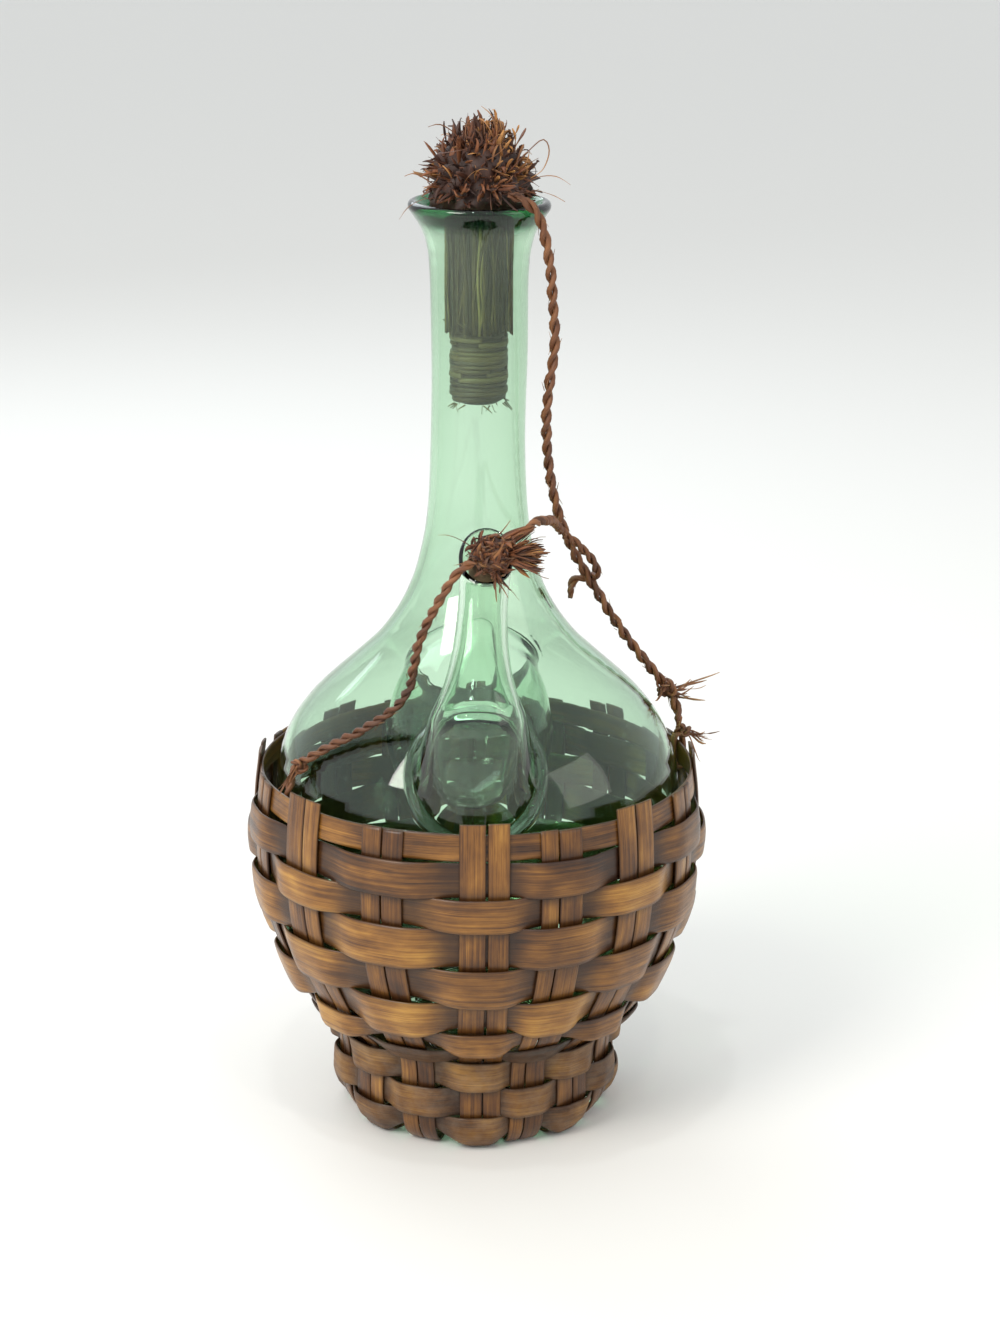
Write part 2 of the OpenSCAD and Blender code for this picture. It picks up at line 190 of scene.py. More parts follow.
def fibre_material(name, dark, mid, light, tip, rough=0.55, sheen=0.25):
    m, nt, p, out = new_material(name)
    uv = nt.nodes.new("ShaderNodeUVMap")
    uv.uv_map = "grain"
    tone = attribute(nt, "tone")
    gold = attribute(nt, "edge")
    comb = nt.nodes.new("ShaderNodeCombineXYZ")
    nt.links.new(math_node(nt, "MULTIPLY", attribute(nt, "lot"), 57.0), comb.inputs[2])
    streak = stretched_noise(nt, uv.outputs[0], 0.08, 2.6, 4, 0.65, 2.0, comb.outputs[0])
    patch = stretched_noise(nt, uv.outputs[0], 0.25, 0.3, 3, 0.5, 9.0, comb.outputs[0])
    f = math_node(nt, "ADD", math_node(nt, "MULTIPLY", tone, 0.55), math_node(nt, "MULTIPLY", streak, 0.55))
    f = math_node(nt, "ADD", f, math_node(nt, "MULTIPLY", math_node(nt, "SUBTRACT", patch, 0.5), 0.5))
    col = ramp(nt, f, [(0.12, dark), (0.5, mid), (0.92, light)])
    col = mix_color(nt, gold, col, tip)
    nt.links.new(col, p.inputs["Base Color"])
    nt.links.new(math_node(nt, "ADD", math_node(nt, "MULTIPLY", streak, 0.3), rough - 0.15), p.inputs["Roughness"])
    p.inputs["Sheen Weight"].default_value = sheen
    p.inputs["Sheen Roughness"].default_value = 0.4
    b = node(nt, "ShaderNodeBump")
    b.inputs["Strength"].default_value = 0.6
    b.inputs["Distance"].default_value = 0.0002
    nt.links.new(streak, b.inputs["Height"])
    nt.links.new(b.outputs[0], p.inputs["Normal"])
    return m


def glass_material():
    m, nt, p, out = new_material("green_glass")
    # the gathered lip is thick and nearly black-green
    nt.links.new(mix_color(nt, attribute(nt, "deep"), (0.93, 0.98, 0.94), (0.03, 0.17, 0.075)), p.inputs["Base Color"])
    p.inputs["Roughness"].default_value = 0.015
    p.inputs["IOR"].default_value = 1.5
    p.inputs["Transmission Weight"].default_value = 1.0
    vol = node(nt, "ShaderNodeVolumeAbsorption")
    vol.inputs["Color"].default_value = (0.22, 0.665, 0.27, 1)
    vol.inputs["Density"].default_value = 112.0
    nt.links.new(vol.outputs[0], out.inputs["Volume"])
    tc = nt.nodes.new("ShaderNodeTexCoord")
    no = node(nt, "ShaderNodeTexNoise")
    no.inputs["Scale"].default_value = 26.0
    no.inputs["Detail"].default_value = 1.5
    nt.links.new(tc.outputs["Object"], no.inputs["Vector"])
    b = node(nt, "ShaderNodeBump")
    b.inputs["Strength"].default_value = 0.12
    b.inputs["Distance"].default_value = 0.0012
    nt.links.new(no.outputs["Fac"], b.inputs["Height"])
    nt.links.new(b.outputs[0], p.inputs["Normal"])
    clear = nt.nodes.new("ShaderNodeBsdfTransparent")
    clear.inputs["Color"].default_value = (0.80, 0.93, 0.85, 1)
    lp = nt.nodes.new("ShaderNodeLightPath")
    mx = nt.nodes.new("ShaderNodeMixShader")
    nt.links.new(lp.outputs["Is Shadow Ray"], mx.inputs[0])
    nt.links.new(p.outputs[0], mx.inputs[1])
    nt.links.new(clear.outputs[0], mx.inputs[2])
    nt.links.new(mx.outputs[0], out.inputs["Surface"])
    return m


def cork_material():
    m, nt, p, out = new_material("cork")
    tc = nt.nodes.new("ShaderNodeTexCoord")
    a = node(nt, "ShaderNodeTexNoise")
    a.inputs["Scale"].default_value = 420.0
    a.inputs["Detail"].default_value = 5.0
    nt.links.new(tc.outputs["Object"], a.inputs["Vector"])
    v = node(nt, "ShaderNodeTexVoronoi")
    v.inputs["Scale"].default_value = 300.0
    nt.links.new(tc.outputs["Object"], v.inputs["Vector"])
    f = math_node(nt, "ADD", math_node(nt, "MULTIPLY", a.outputs["Fac"], 0.8), math_node(nt, "MULTIPLY", v.outputs["Distance"], 0.4))
    # painted shade: the cork is coloured near black so that the spout's mouth round it reads as a dark hole
    nt.links.new(ramp(nt, f, [(0.25, (0.015, 0.007, 0.004)), (0.5, (0.07, 0.04, 0.02)), (0.8, (0.14, 0.09, 0.045))]), p.inputs["Base Color"])
    p.inputs["Roughness"].default_value = 0.85
    b = node(nt, "ShaderNodeBump")
    b.inputs["Strength"].default_value = 0.7
    b.inputs["Distance"].default_value = 0.0004
    nt.links.new(f, b.inputs["Height"])
    nt.links.new(b.outputs[0], p.inputs["Normal"])
    return m


MAT_GLASS = glass_material()
MAT_CORK = cork_material()
MAT_BOWL = splint_material("splint_weaver", [
    (0.20, (0.022, 0.007, 0.002)), (0.40, (0.110, 0.040, 0.006)), (0.58, (0.250, 0.104, 0.016)), (0.82, (0.490, 0.248, 0.044))])
MAT_STAKE = splint_material("splint_stake", [
    (0.20, (0.018, 0.006, 0.002)), (0.41, (0.088, 0.030, 0.005)), (0.60, (0.210, 0.084, 0.013)), (0.84, (0.430, 0.212, 0.038))])
MAT_FOOT = splint_material("splint_foot", [
    (0.20, (0.014, 0.006, 0.002)), (0.43, (0.062, 0.023, 0.005)), (0.63, (0.150, 0.062, 0.012)), (0.88, (0.310, 0.155, 0.034))], dust=0.45, coat=0.2)
MAT_TUFT = fibre_material("tuft_fibre", (0.010, 0.003, 0.002), (0.070, 0.020, 0.007), (0.24, 0.080, 0.024), (0.56, 0.26, 0.07), sheen=0.04)
MAT_CORD = fibre_material("raffia_cord", (0.026, 0.008, 0.003), (0.135, 0.046, 0.015), (0.30, 0.125, 0.045), (0.50, 0.28, 0.12), sheen=0.04)
MAT_PLUG = fibre_material("plug_fibre", (0.010, 0.006, 0.002), (0.043, 0.026, 0.008), (0.125, 0.080, 0.026), (0.25, 0.18, 0.07), sheen=0.04)


# ---------------------------------------------------------------- mesh making
class Build:
    """Collects rings of points in millimetres into one mesh with grain coordinates, a tone and an edge value."""

    def __init__(self):
        self.v, self.f, self.uv, self.tone, self.edge, self.lot, self.n = [], [], [], [], [], [], 0

    def rings(self, P, uv, tone=0.5, edge=0.0, loop=False, caps=True):
        n, k = P.shape[:2]
        base = self.n
        self.v.append(P.reshape(-1, 3))
        self.uv.append(np.broadcast_to(uv, (n, k, 2)).reshape(-1, 2))
        self.tone.append(np.broadcast_to(tone, (n, k)).reshape(-1).astype(float))
        self.edge.append(np.broadcast_to(edge, (n, k)).reshape(-1).astype(float))
        self.lot.append(np.full(n * k, (len(self.v) * 0.618034) % 1.0))
        i = np.arange(n if loop else n - 1)[:, None]
        j = np.arange(k)[None, :]
        a, b = base + i * k, base + ((i + 1) % n) * k
        jn = (j + 1) % k
        self.f += np.stack([a + j, a + jn, b + jn, b + j], -1).reshape(-1, 4).tolist()
        if caps and not loop:
            self.f.append([base + x for x in range(k - 1, -1, -1)])
            self.f.append([base + (n - 1) * k + x for x in range(k)])
        self.n += n * k

    def finish(self, name, body, material, replaces=(), blend=None):
        V = np.concatenate(self.v) * MM
        me = bpy.data.meshes.new(name)
        me.from_pydata(V.tolist(), [], self.f)
        bm = bmesh.new()
        bm.from_mesh(me)
        bmesh.ops.recalc_face_normals(bm, faces=bm.faces)
        for f in bm.faces:
            f.smooth = True
        bm.to_mesh(me)
        bm.free()
        uv = np.concatenate(self.uv)
        layer = me.uv_layers.new(name="grain")
        idx = np.zeros(len(me.loops), int)
        me.loops.foreach_get("vertex_index", idx)
        layer.data.foreach_set("uv", uv[idx].astype(np.float32).ravel())
        own = (sum(map(ord, name)) * 0.137) % 1.0
        for key, data in (("tone", self.tone), ("edge", self.edge), ("lot", [x + own for x in self.lot])):
            at = me.attributes.new(key, "FLOAT", "POINT")
            at.data.foreach_set("value", np.concatenate(data).astype(np.float32))
        me.materials.append(material)
        me.update()
        ob = bpy.data.objects.new(name, me)
        scene.collection.objects.link(ob)
        if blend:
            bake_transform(ob)
        else:
            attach(ob, body)
        if replaces:
            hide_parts(*replaces)
        return ob


def spline(points, m):
    """A route made smooth: m pieces on each span, by the four nearest points."""
    p = np.array(points, float)
    out = []
    for i in range(len(p) - 1):
        a, b, c, d = p[max(i - 1, 0)], p[i], p[i + 1], p[min(i + 2, len(p) - 1)]
        for j in range(m):
            t = j / m
            out.append(0.5 * (2 * b + (c - a) * t + (2 * a - 5 * b + 4 * c - d) * t * t + (3 * b - a - 3 * c + d) * t ** 3))
    out.append(p[-1])
    return np.array(out)


def arc(P):
    return np.concatenate([[0], np.cumsum(np.linalg.norm(np.diff(P, axis=0), axis=1))])


def resample(P, step):
    s = arc(P)
    n = max(4, int(round(s[-1] / step)) + 1)
    t = np.linspace(0, s[-1], n)
    return np.stack([np.interp(t, s, P[:, i]) for i in range(3)], 1)


def frames(P, up=(0.0, 0.0, 1.0)):
    T = np.gradient(P, axis=0)
    T /= np.linalg.norm(T, axis=1)[:, None] + 1e-12
    U = np.zeros_like(P)
    u = np.array(up, float)
    if abs(u @ T[0]) > 0.95 * np.linalg.norm(u):
        u = np.array([1.0, 0.2, 0.0])
    for i in range(len(P)):
        u = u - (u @ T[i]) * T[i]
        u /= np.linalg.norm(u) + 1e-12
        U[i] = u
    return T, U, np.cross(T, U)


def sweep(B, P, rx, ry, k=8, twist=0.0, up=(0, 0, 1), tone=0.5, edge=0.0, lobes=None):
    n = len(P)
    T, U, V = frames(P, up)
    ang = np.linspace(0, TAU, k, endpoint=False)[None, :]
    rx = np.broadcast_to(np.asarray(rx, float), (n,))[:, None]
    ry = np.broadcast_to(np.asarray(ry, float), (n,))[:, None]
    tw = np.broadcast_to(np.asarray(twist, float), (n,))[:, None]
    x, y = rx * np.cos(ang), ry * np.sin(ang)
    if lobes is not None:
        x, y = x * lobes, y * lobes
    c, s = np.cos(tw), np.sin(tw)
    a, b = x * c - y * s, x * s + y * c
    Q = P[:, None, :] + a[..., None] * U[:, None, :] + b[..., None] * V[:, None, :]
    ln = arc(P)[:, None]
    uv = np.stack([np.broadcast_to(ln, (n, k)), np.broadcast_to(np.cos(ang) * rx * 1.0, (n, k))], -1)
    B.rings(Q, uv, np.broadcast_to(np.asarray(tone, float).reshape(-1, 1) if np.ndim(tone) else tone, (n, k)),
            np.broadcast_to(np.asarray(edge, float).reshape(-1, 1) if np.ndim(edge) else edge, (n, k)))


def bezier(p0, p1, p2, p3, n):
    t = np.linspace(0, 1, n)[:, None]
    return ((1 - t) ** 3 * p0 + 3 * (1 - t) ** 2 * t * p1 + 3 * (1 - t) * t * t * p2 + t ** 3 * p3)


def wobble(n, rng, amp, waves=3):
    """A slow random waver along n samples, the same each run."""
    t = np.linspace(0, 1, n)
    out = np.zeros(n)
    for k in range(1, waves + 1):
        out += rng.normal() * np.sin(TAU * (k * 0.73 * t + rng.random())) / k
    return amp * out


def ribbon(B, P, w, th, rng, tone, gold=0.0, curl=1.5):
    """One flat raffia strand along P, with tapering ends, a curl and a wavering width."""
    n = len(P)
    t = np.linspace(0, 1, n)
    shape = np.clip(np.minimum(1.0, (1 - t) * 3.5 + 0.25), 0.2, 1) * (1 + wobble(n, rng, 0.1))
    tw = rng.uniform(0, TAU) + curl * rng.normal() * t + wobble(n, rng, 0.3)
    up = rng.normal(size=3)
    sweep(B, P, np.maximum(w / 2 * shape, 0.12), th / 2 * np.maximum(shape, 0.5), k=5, twist=tw, up=up, tone=tone,
          edge=np.clip(gold * np.clip((t - 0.45) / 0.5, 0, 1), 0, 1))


def rope(B, route, d, pitch, rng, plies=2, step=0.75, hairs=40, tone0=0.5):
    """A loosely laid two-ply raffia cord of diameter d along a route, with short hairs."""
    P = resample(spline(route, 12), step)
    T, U, V = frames(P, (0.3, 1.0, 0.2))
    s = arc(P)
    n = len(P)
    slack = 1 + wobble(n, rng, 0.05, 7)
    ph = TAU * s / pitch + wobble(n, rng, 0.5, 6)
    ends = np.clip(np.minimum(s, s[-1] - s) / (d * 0.8), 0.55, 1)
    for j in range(plies):
        a = ph + TAU * j / plies
        off = d * 0.245 * slack * ends
        C = P + off[:, None] * (np.cos(a)[:, None] * U + np.sin(a)[:, None] * V)
        r = d * 0.265 * (1 + wobble(n, rng, 0.05, 9)) * ends
        k = 9
        th = np.linspace(0, TAU, k, endpoint=False)[None, :]
        lob = 1 + 0.13 * np.cos(3 * th + s[:, None] * 0.9 + j) + 0.05 * np.cos(4 * th - s[:, None] * 1.3)
        sweep(B, C, r, r * 0.9, k=k, twist=a * 0.6, tone=np.clip(tone0 + wobble(n, rng, 0.18, 9) + (j - 0.5) * 0.12, 0, 1), lobes=lob)
    for _ in range(hairs):
        i = rng.integers(2, n - 3)
        a = rng.uniform(0, TAU)
        out = np.cos(a) * U[i] + np.sin(a) * V[i]
        st = P[i] + out * d * 0.4
        ln = rng.uniform(1.6, 3.6)
        dr = T[i] * rng.choice([-1, 1]) * 0.9 + out * rng.uniform(0.15, 0.4)
        Q = bezier(st, st + dr * ln * 0.4, st + dr * ln * 0.8, st + dr * ln, 5)
        sweep(B, Q, np.linspace(0.16, 0.05, 5), 0.07, k=4, up=out, tone=rng.random(), edge=rng.uniform(0, 0.6))
    return P


# ---------------------------------------------------------------- cords
NECK_ROUTE = [[9.5, -20.8, 332.6], [14.5, -20.2, 330.8], [19.2, -18.4, 326], [21.8, -16, 318],
    [23.8, -13.5, 307], [25, -11.2, 294], [25.6, -9.4, 281], [24.2, -7.8, 268],
    [23.2, -6.2, 255], [23.6, -4.2, 243], [25.2, -2, 231], [28.2, 1, 218],
    [33, 4.6, 205.5], [39.5, 8.6, 193], [46.5, 13, 180.5], [54, 17.4, 168.5],
    [61.6, 21.4, 157.6], [68.4, 24.4, 148.6], [72.2, 24.6, 140.4], [73, 23.8, 134]]
LEFT_ROUTE = [[0.6, -73.6, 222.2], [-3.6, -73.2, 220.4], [-7.6, -74.6, 216.6], [-11.4, -73.4, 210], [-15, -70.8, 202.5],
    [-18.5, -67.5, 193.5], [-20.4, -64, 184], [-22.2, -59.5, 174.5], [-27, -54.4, 166.4],
    [-34, -50.4, 159.8], [-41, -47, 154.4], [-48, -43.4, 149.6], [-55, -39.6, 144.4],
    [-61.2, -35.8, 138.8], [-64.2, -34.8, 131.8], [-64.5, -35.4, 124.6], [-64.5, -35.4, 118]]
RIGHT_ROUTE = [[16.6, -63, 231.2], [20.4, -56.5, 231.6], [23, -46, 229], [25, -32, 225.4],
    [27, -17, 219.8], [29.6, -5, 213.8], [35, -1, 208.4], [39.8, 1.4, 202.4],
    [41.8, 5, 196.6], [38.6, 12, 193.4], [33.6, 11.6, 192], [32.6, 8.6, 186.6]]

rng = np.random.default_rng(11)
B = Build()
neck_path = rope(B, NECK_ROUTE, 3.8, 12.5, rng, hairs=90, tone0=0.5)
neck_cord = B.finish("neck_cord_rope", None, MAT_CORD, ["neck_cord"],
                     blend=("root", "neck_stopper", (0.026, 0.0, 0.214), (0.026, 0.0, 0.322)))
B = Build()
left_path = rope(B, LEFT_ROUTE, 3.4, 10.5, rng, hairs=45, tone0=0.42)
left_cord = B.finish("spout_cord_left_rope", None, MAT_CORD, ["spout_cord_left"],
                     blend=("root", "spout_stopper", (-0.022, -0.06, 0.172), (-0.008, -0.0745, 0.216)))
B = Build()
right_path = rope(B, RIGHT_ROUTE, 3.4, 9.5, rng, hairs=35, tone0=0.45)
right_cord = B.finish("spout_cord_right_rope", None, MAT_CORD, ["spout_cord_right"],
                      blend=("root", "spout_stopper", (0.0275, -0.014, 0.2185), (0.0195, -0.058, 0.2315)))


# knots and the band round the rim
def frayed(B, at, direction, count, length, spread, rng, w=(0.5, 1.2), gold=0.6, droop=0.35, n=8):
    d = np.array(direction, float)
    d /= np.linalg.norm(d)
    for _ in range(count):
        o = rng.normal(size=3) * spread * 0.28
        dr = d + rng.normal(size=3) * spread * 0.12
        ln = length * rng.uniform(0.55, 1.1)
        st = np.array(at, float) + o * 0.6
        en = st + dr * ln - np.array([0, 0, droop * ln * rng.uniform(0.3, 1)])
        Q = bezier(st, st + d * ln * 0.35 + o, en - dr * ln * 0.3 + rng.normal(size=3) * ln * 0.06, en, n)
        ribbon(B, Q, rng.uniform(*w), 0.22, rng, rng.random(), gold * rng.random() ** 2)


def knot(B, centre, size, d, axis, rng, loops=1.0):
    """A drawn-up overhand knot: a trefoil of cord pressed round its own middle."""
    ax = np.array(axis, float)
    ax /= np.linalg.norm(ax)
    u = np.cross(ax, [0.3, 0.9, 0.2])
    u /= np.linalg.norm(u)
    w = np.cross(ax, u)
    t = np.linspace(0, TAU, 90)
    x, y, z = (np.sin(t) + 1.55 * np.sin(2 * t)) / 2.55, (np.cos(t) - 1.55 * np.cos(2 * t)) / 2.55, -np.sin(3 * t)
    C = np.array(centre, float)
    P = C + size * (x[:, None] * u + y[:, None] * w + 0.55 * z[:, None] * ax)
    s = arc(P)
    for j in range(2):
        a = TAU * s / 7.5 + j * math.pi
        T, U, V = frames(P)
        Q = P + d * 0.22 * (np.cos(a)[:, None] * U + np.sin(a)[:, None] * V)
        sweep(B, Q, d * 0.27, d * 0.25, k=7, tone=np.clip(0.45 + wobble(len(P), rng, 0.2, 5), 0, 1))
    # painted shade: a dark core at the knot's middle, standing in for the shade between its loops
    sweep(B, np.array([C - ax * size * 0.55, C, C + ax * size * 0.55]), [size * 0.45, size * 0.75, size * 0.45],
          [size * 0.45, size * 0.75, size * 0.45], k=10, tone=0.15)


B = Build()
knot(B, (68.4, 24.4, 148.6), 3.3, 2.7, (0.62, 0.25, -0.74), rng)
frayed(B, (69.2, 24.6, 146.5), (0.75, 0.1, 0.35), 16, 10.5, 3.0, rng, gold=0.9, droop=0.5)
frayed(B, (67.4, 24.0, 149.5), (-0.35, -0.7, 0.3), 9, 8.5, 2.6, rng, gold=0.6, droop=0.6)
rim_knot = B.finish("rim_knot_frayed", "root", MAT_CORD, ["rim_knot"])

B = Build()
ca, sa = math.cos(math.radians(18)), math.sin(math.radians(18))
for q in range(3):
    t = np.linspace(0, TAU, 60)
    rr = 76.55 + 1.95 * np.sign(np.cos(t)) * np.abs(np.cos(t)) ** 0.7
    zz = 125.3 + 6.2 * np.sign(np.sin(t)) * np.abs(np.sin(t)) ** 0.8
    side = (q - 1) * 1.55 + 0.35 * np.sin(t + q)
    P = np.stack([rr * ca - side * sa, rr * sa + side * ca, zz], 1)
    sweep(B, P, 0.72, 0.62, k=7, tone=np.clip(0.4 + 0.15 * q + wobble(60, rng, 0.15, 5), 0, 1))
knot(B, (74.6, 24.4, 132.4), 2.5, 2.1, (0.3, 0.2, 1), rng)
frayed(B, (75.6, 24.6, 131.4), (0.8, 0.25, 0.1), 13, 9.5, 2.4, rng, gold=0.7, droop=0.8)
rim_lashing = B.finish("rim_lashing_tied", "root", MAT_CORD, ["rim_lashing"])


B = Build()
knot(B, (-60.2, -37.0, 139.8), 2.5, 2.1, (-0.75, 0.35, -0.55), rng)
frayed(B, (-61.5, -37.5, 138.6), (-0.5, -0.6, -0.55), 10, 7.5, 2.2, rng, gold=0.5, droop=0.5)
left_knot = B.finish("spout_cord_left_knot", "root", MAT_CORD)


# ---------------------------------------------------------------- glass
OUT = [[0, 42.5], [12, 41.6], [22, 39], [30, 38], [39, 38.8], [48.5, 42.5],
    [56, 47.5], [62, 54], [66.4, 61], [69.6, 69], [71, 78], [71.4, 89],
    [71.6, 101], [71.6, 113], [71.2, 125], [69.3, 134.5], [65.2, 144],
    [59.4, 152], [53.6, 158], [47.6, 163.5], [41.6, 169], [35.4, 175],
    [30, 182], [25.8, 189], [22.1, 197.5], [19.8, 206], [18.1, 215],
    [16.9, 227], [16.3, 243], [16.2, 260], [16.5, 280], [16.7, 300], [17.2, 309.5]]
LIP = [[18.5, 315.5], [20.6, 320], [22.6, 323], [23.9, 325], [24.1, 326.4], [23.6, 327.4], [22.4, 327.8], [21.2, 327.3]]
BORE = [[20.0, 325.6], [18.4, 322.2], [16.6, 317.5], [15.3, 312.5]]


def catmull2(points, m):
    p = np.concatenate([np.array(points, float), np.zeros((len(points), 1))], 1)
    return spline(p, m)[:, :2]


outer = catmull2(OUT, 8)
tang = np.gradient(outer, axis=0)
tang /= np.linalg.norm(tang, axis=1)[:, None]
inner = np.stack([outer[:, 0] - tang[:, 1] * 2.4, outer[:, 1] + tang[:, 0] * 2.4], 1)
inner = inner[inner[:, 0] > 0.0]
full = np.concatenate([outer[:-1], catmull2(OUT[-1:] + LIP + BORE + [[14.8, 309.0]], 8)[:-1], inner[::-1][3:]])
full = full[np.concatenate([[True], np.linalg.norm(np.diff(full, axis=0), axis=1) > 1e-4])]
fs = np.concatenate([[0], np.cumsum(np.linalg.norm(np.diff(full, axis=0), axis=1))])
lip_s = fs[np.argmax(full[:, 1])]


def prof(a):
    a = np.clip(a, 0.9, fs[-1] - 0.9)
    return np.interp(a, fs, full[:, 0]), np.interp(a, fs, full[:, 1])


rows = [0.9]
while rows[-1] < fs[-1] - 0.9:
    near = abs(rows[-1] - lip_s)
    rows.append(rows[-1] + (0.55 if near < 9 else 1.2 if near < 24 else 2.3))
rows = np.array(rows[:-1] + [fs[-1] - 0.9])
NA = 192
SE, SJ = 14, 16


def surf(a, al):
    r, z = prof(a)
    return np.stack([r * np.sin(al), -r * np.cos(al), z], -1)


def glass_mesh():
    verts, faces = [], []
    R, J = len(rows), NA
    grid = np.arange(R * J).reshape(R, J)
    al = np.arange(J) * TAU / J
    verts.append(surf(rows[:, None] * np.ones((1, J)), al[None, :] * np.ones((R, 1))).reshape(-1, 3))
    count = [R * J]
    skip = set()

    def add_ring(P):
        verts.append(P)
        ids = np.arange(count[0], count[0] + len(P))
        count[0] += len(P)
        return ids

    def bridge(a, b):
        n = len(a)
        for k in range(n):
            q = (k + 1) % n
            faces.append([int(a[k]), int(a[q]), int(b[q]), int(b[k])])

    # boundary of a patch, in order, as offsets up the profile and round the axis
    edge = ([(-SE, j) for j in range(-SJ, SJ)] + [(e, SJ) for e in range(-SE, SE)]
            + [(SE, j) for j in range(SJ, -SJ, -1)] + [(e, -SJ) for e in range(SE, -SE, -1)])
    edge = np.array(edge)
    phi = np.arctan2(edge[:, 0] * 2.3, edge[:, 1] * 2.1)

    def patch(z_c, al_c, side, rho, squeeze=1.0):
        """Cuts a patch out of the outer (side 1) or inner (side -1) wall and closes it to a circle of radius rho."""
        on = np.where((fs < lip_s) if side > 0 else (fs > lip_s))[0]
        on = on[full[on, 0] > 30]
        i_c = on[np.argmin(np.abs(full[on, 1] - z_c))]
        a_c = fs[i_c]
        row_c = int(np.argmin(np.abs(rows - a_c)))
        j_c = int(round(al_c / TAU * J))
        ids = np.array([grid[row_c + side * e, (j_c + j) % J] for e, j in edge])
        for e in range(-SE, SE):
            for j in range(-SJ, SJ):
                i = row_c + side * e if side > 0 else row_c - e - 1
                skip.add((i, (j_c + j) % J))
        ba = rows[row_c + side * edge[:, 0]]
        bal = (j_c + edge[:, 1]) * TAU / J
        ta = a_c + side * rho * np.sin(phi) * squeeze
        tr, _ = prof(ta)
        tal = al_c + rho * np.cos(phi) / tr
        last = ids
        for t in (0.16, 0.33, 0.5, 0.66, 0.8, 0.91, 1.0):
            ring = surf(ba + (ta - ba) * t, bal + (tal - bal) * t)
            now = add_ring(ring)
            bridge(last, now)
            last = now
        ta2 = a_c + side * (rho - 0.6) * np.sin(phi) * squeeze
        tr2, _ = prof(ta2)
        D = surf(ta2, al_c + (rho - 0.6) * np.cos(phi) / tr2) - ring
        D /= np.linalg.norm(D, axis=1)[:, None]
        return last, ring, D

    def loft(last, Q, D, Rg, tdir, l0, l1, n):
        """Rings from the circle Q, leaving along D, to the ring Rg, arriving along tdir."""
        for t in np.linspace(0, 1, n + 1)[1:]:
            P = ((1 - t) ** 3 * Q + 3 * (1 - t) ** 2 * t * (Q + D * l0) + 3 * (1 - t) * t * t * (Rg - tdir * l1) + t ** 3 * Rg)
            now = add_ring(P)
            bridge(last, now)
            last = now
        return last

    # the pouring spout
    lean = 3.3 / 66.5
    tilt = math.tan(math.radians(40))

    def tube_ring(z, r):
        f = min(max((z - 200.0) / 20.0, 0), 1)
        sh = f * f * (3 - 2 * f) * tilt
        x = (z - 155.5) * lean + r * np.cos(phi)
        y = -66 + r * np.sin(phi)
        return np.stack([x, y, z + sh * (y + 66)], 1)

    t_out = [(169, 15.3), (172, 13.95), (175, 12.8), (178, 11.8), (181, 11.0), (184, 10.3), (187, 9.75), (190, 9.3), (193, 8.95), (196.5, 8.62),
             (200, 8.33), (203, 8.2), (206, 8.12), (209, 8.1), (212, 8.15), (214.5, 8.25), (217, 8.4), (219, 8.58), (220.6, 8.78), (221.6, 8.9)]
    t_in = [(221.5, 7.5), (220.2, 7.25), (218.4, 7.0), (216, 6.82), (213, 6.7), (209, 6.6), (205, 6.62), (201, 6.75), (197, 6.95), (193, 7.25),
            (189, 7.75), (185, 8.5), (181, 9.35), (177, 10.5), (173, 11.9), (169, 13.4)]
    up = np.array([[lean, 0, 1.0]])

    def rim_dir():
        return np.stack([np.cos(phi), np.sin(phi), 0 * phi], -1)

    lo, Q, D = patch(145.2, 0.0, 1, 24.2)
    nrm = np.array([[0, -0.62, 0.78]])
    # a crisp ring where the spout was drawn on: a low bead, then a short dip
    for dd, hh in ((0.4, 0.55), (1.1, 0.95), (1.8, 1.25)):
        now = add_ring(Q + D * dd + nrm * hh)
        bridge(lo, now)
        lo = now
    Q2 = Q + D * 1.8 + nrm * 1.25
    D2 = D * 0.52 + nrm * 0.85
    lo = loft(lo, Q2, D2, tube_ring(*t_out[0]), up * 0.93 - rim_dir() * 0.37, 6.5, 5.5, 15)
    for z, r in t_out[1:]:
        now = add_ring(tube_ring(z, r))
        bridge(lo, now)
        lo = now
    for zz, r in ((222.05, 8.75), (222.3, 8.45), (222.38, 8.15), (222.25, 7.85), (221.95, 7.62)):
        now = add_ring(tube_ring(zz, r))
        bridge(lo, now)
        lo = now
    for z, r in t_in:
        now = add_ring(tube_ring(z, r))
        bridge(lo, now)
        lo = now
    li, Qi, Di = patch(144.0, 0.0, -1, 19.6)
    # down from the tube to the hole in the inner wall
    Rg = tube_ring(*t_in[-1])
    for t in np.linspace(0, 1, 13)[1:-1]:
        P = ((1 - t) ** 3 * Rg + 3 * (1 - t) ** 2 * t * (Rg - up * 5.5 + rim_dir() * 2.2) + 3 * (1 - t) * t * t * (Qi + Di * 3.4 + nrm * 5.0) + t ** 3 * Qi)
        now = add_ring(P)
        bridge(lo, now)
        lo = now
    bridge(lo, li)

    # the ice pocket
    n55 = np.array([0, math.sin(math.radians(55)), math.cos(math.radians(55))])
    w55 = np.array([0, -n55[2], n55[1]])
    c55 = np.array([-3.0, 58, 150])

    def pocket_ring(s, r):
        return c55 + s * n55 + r * (np.cos(phi)[:, None] * np.array([-1.0, 0, 0]) + np.sin(phi)[:, None] * w55)

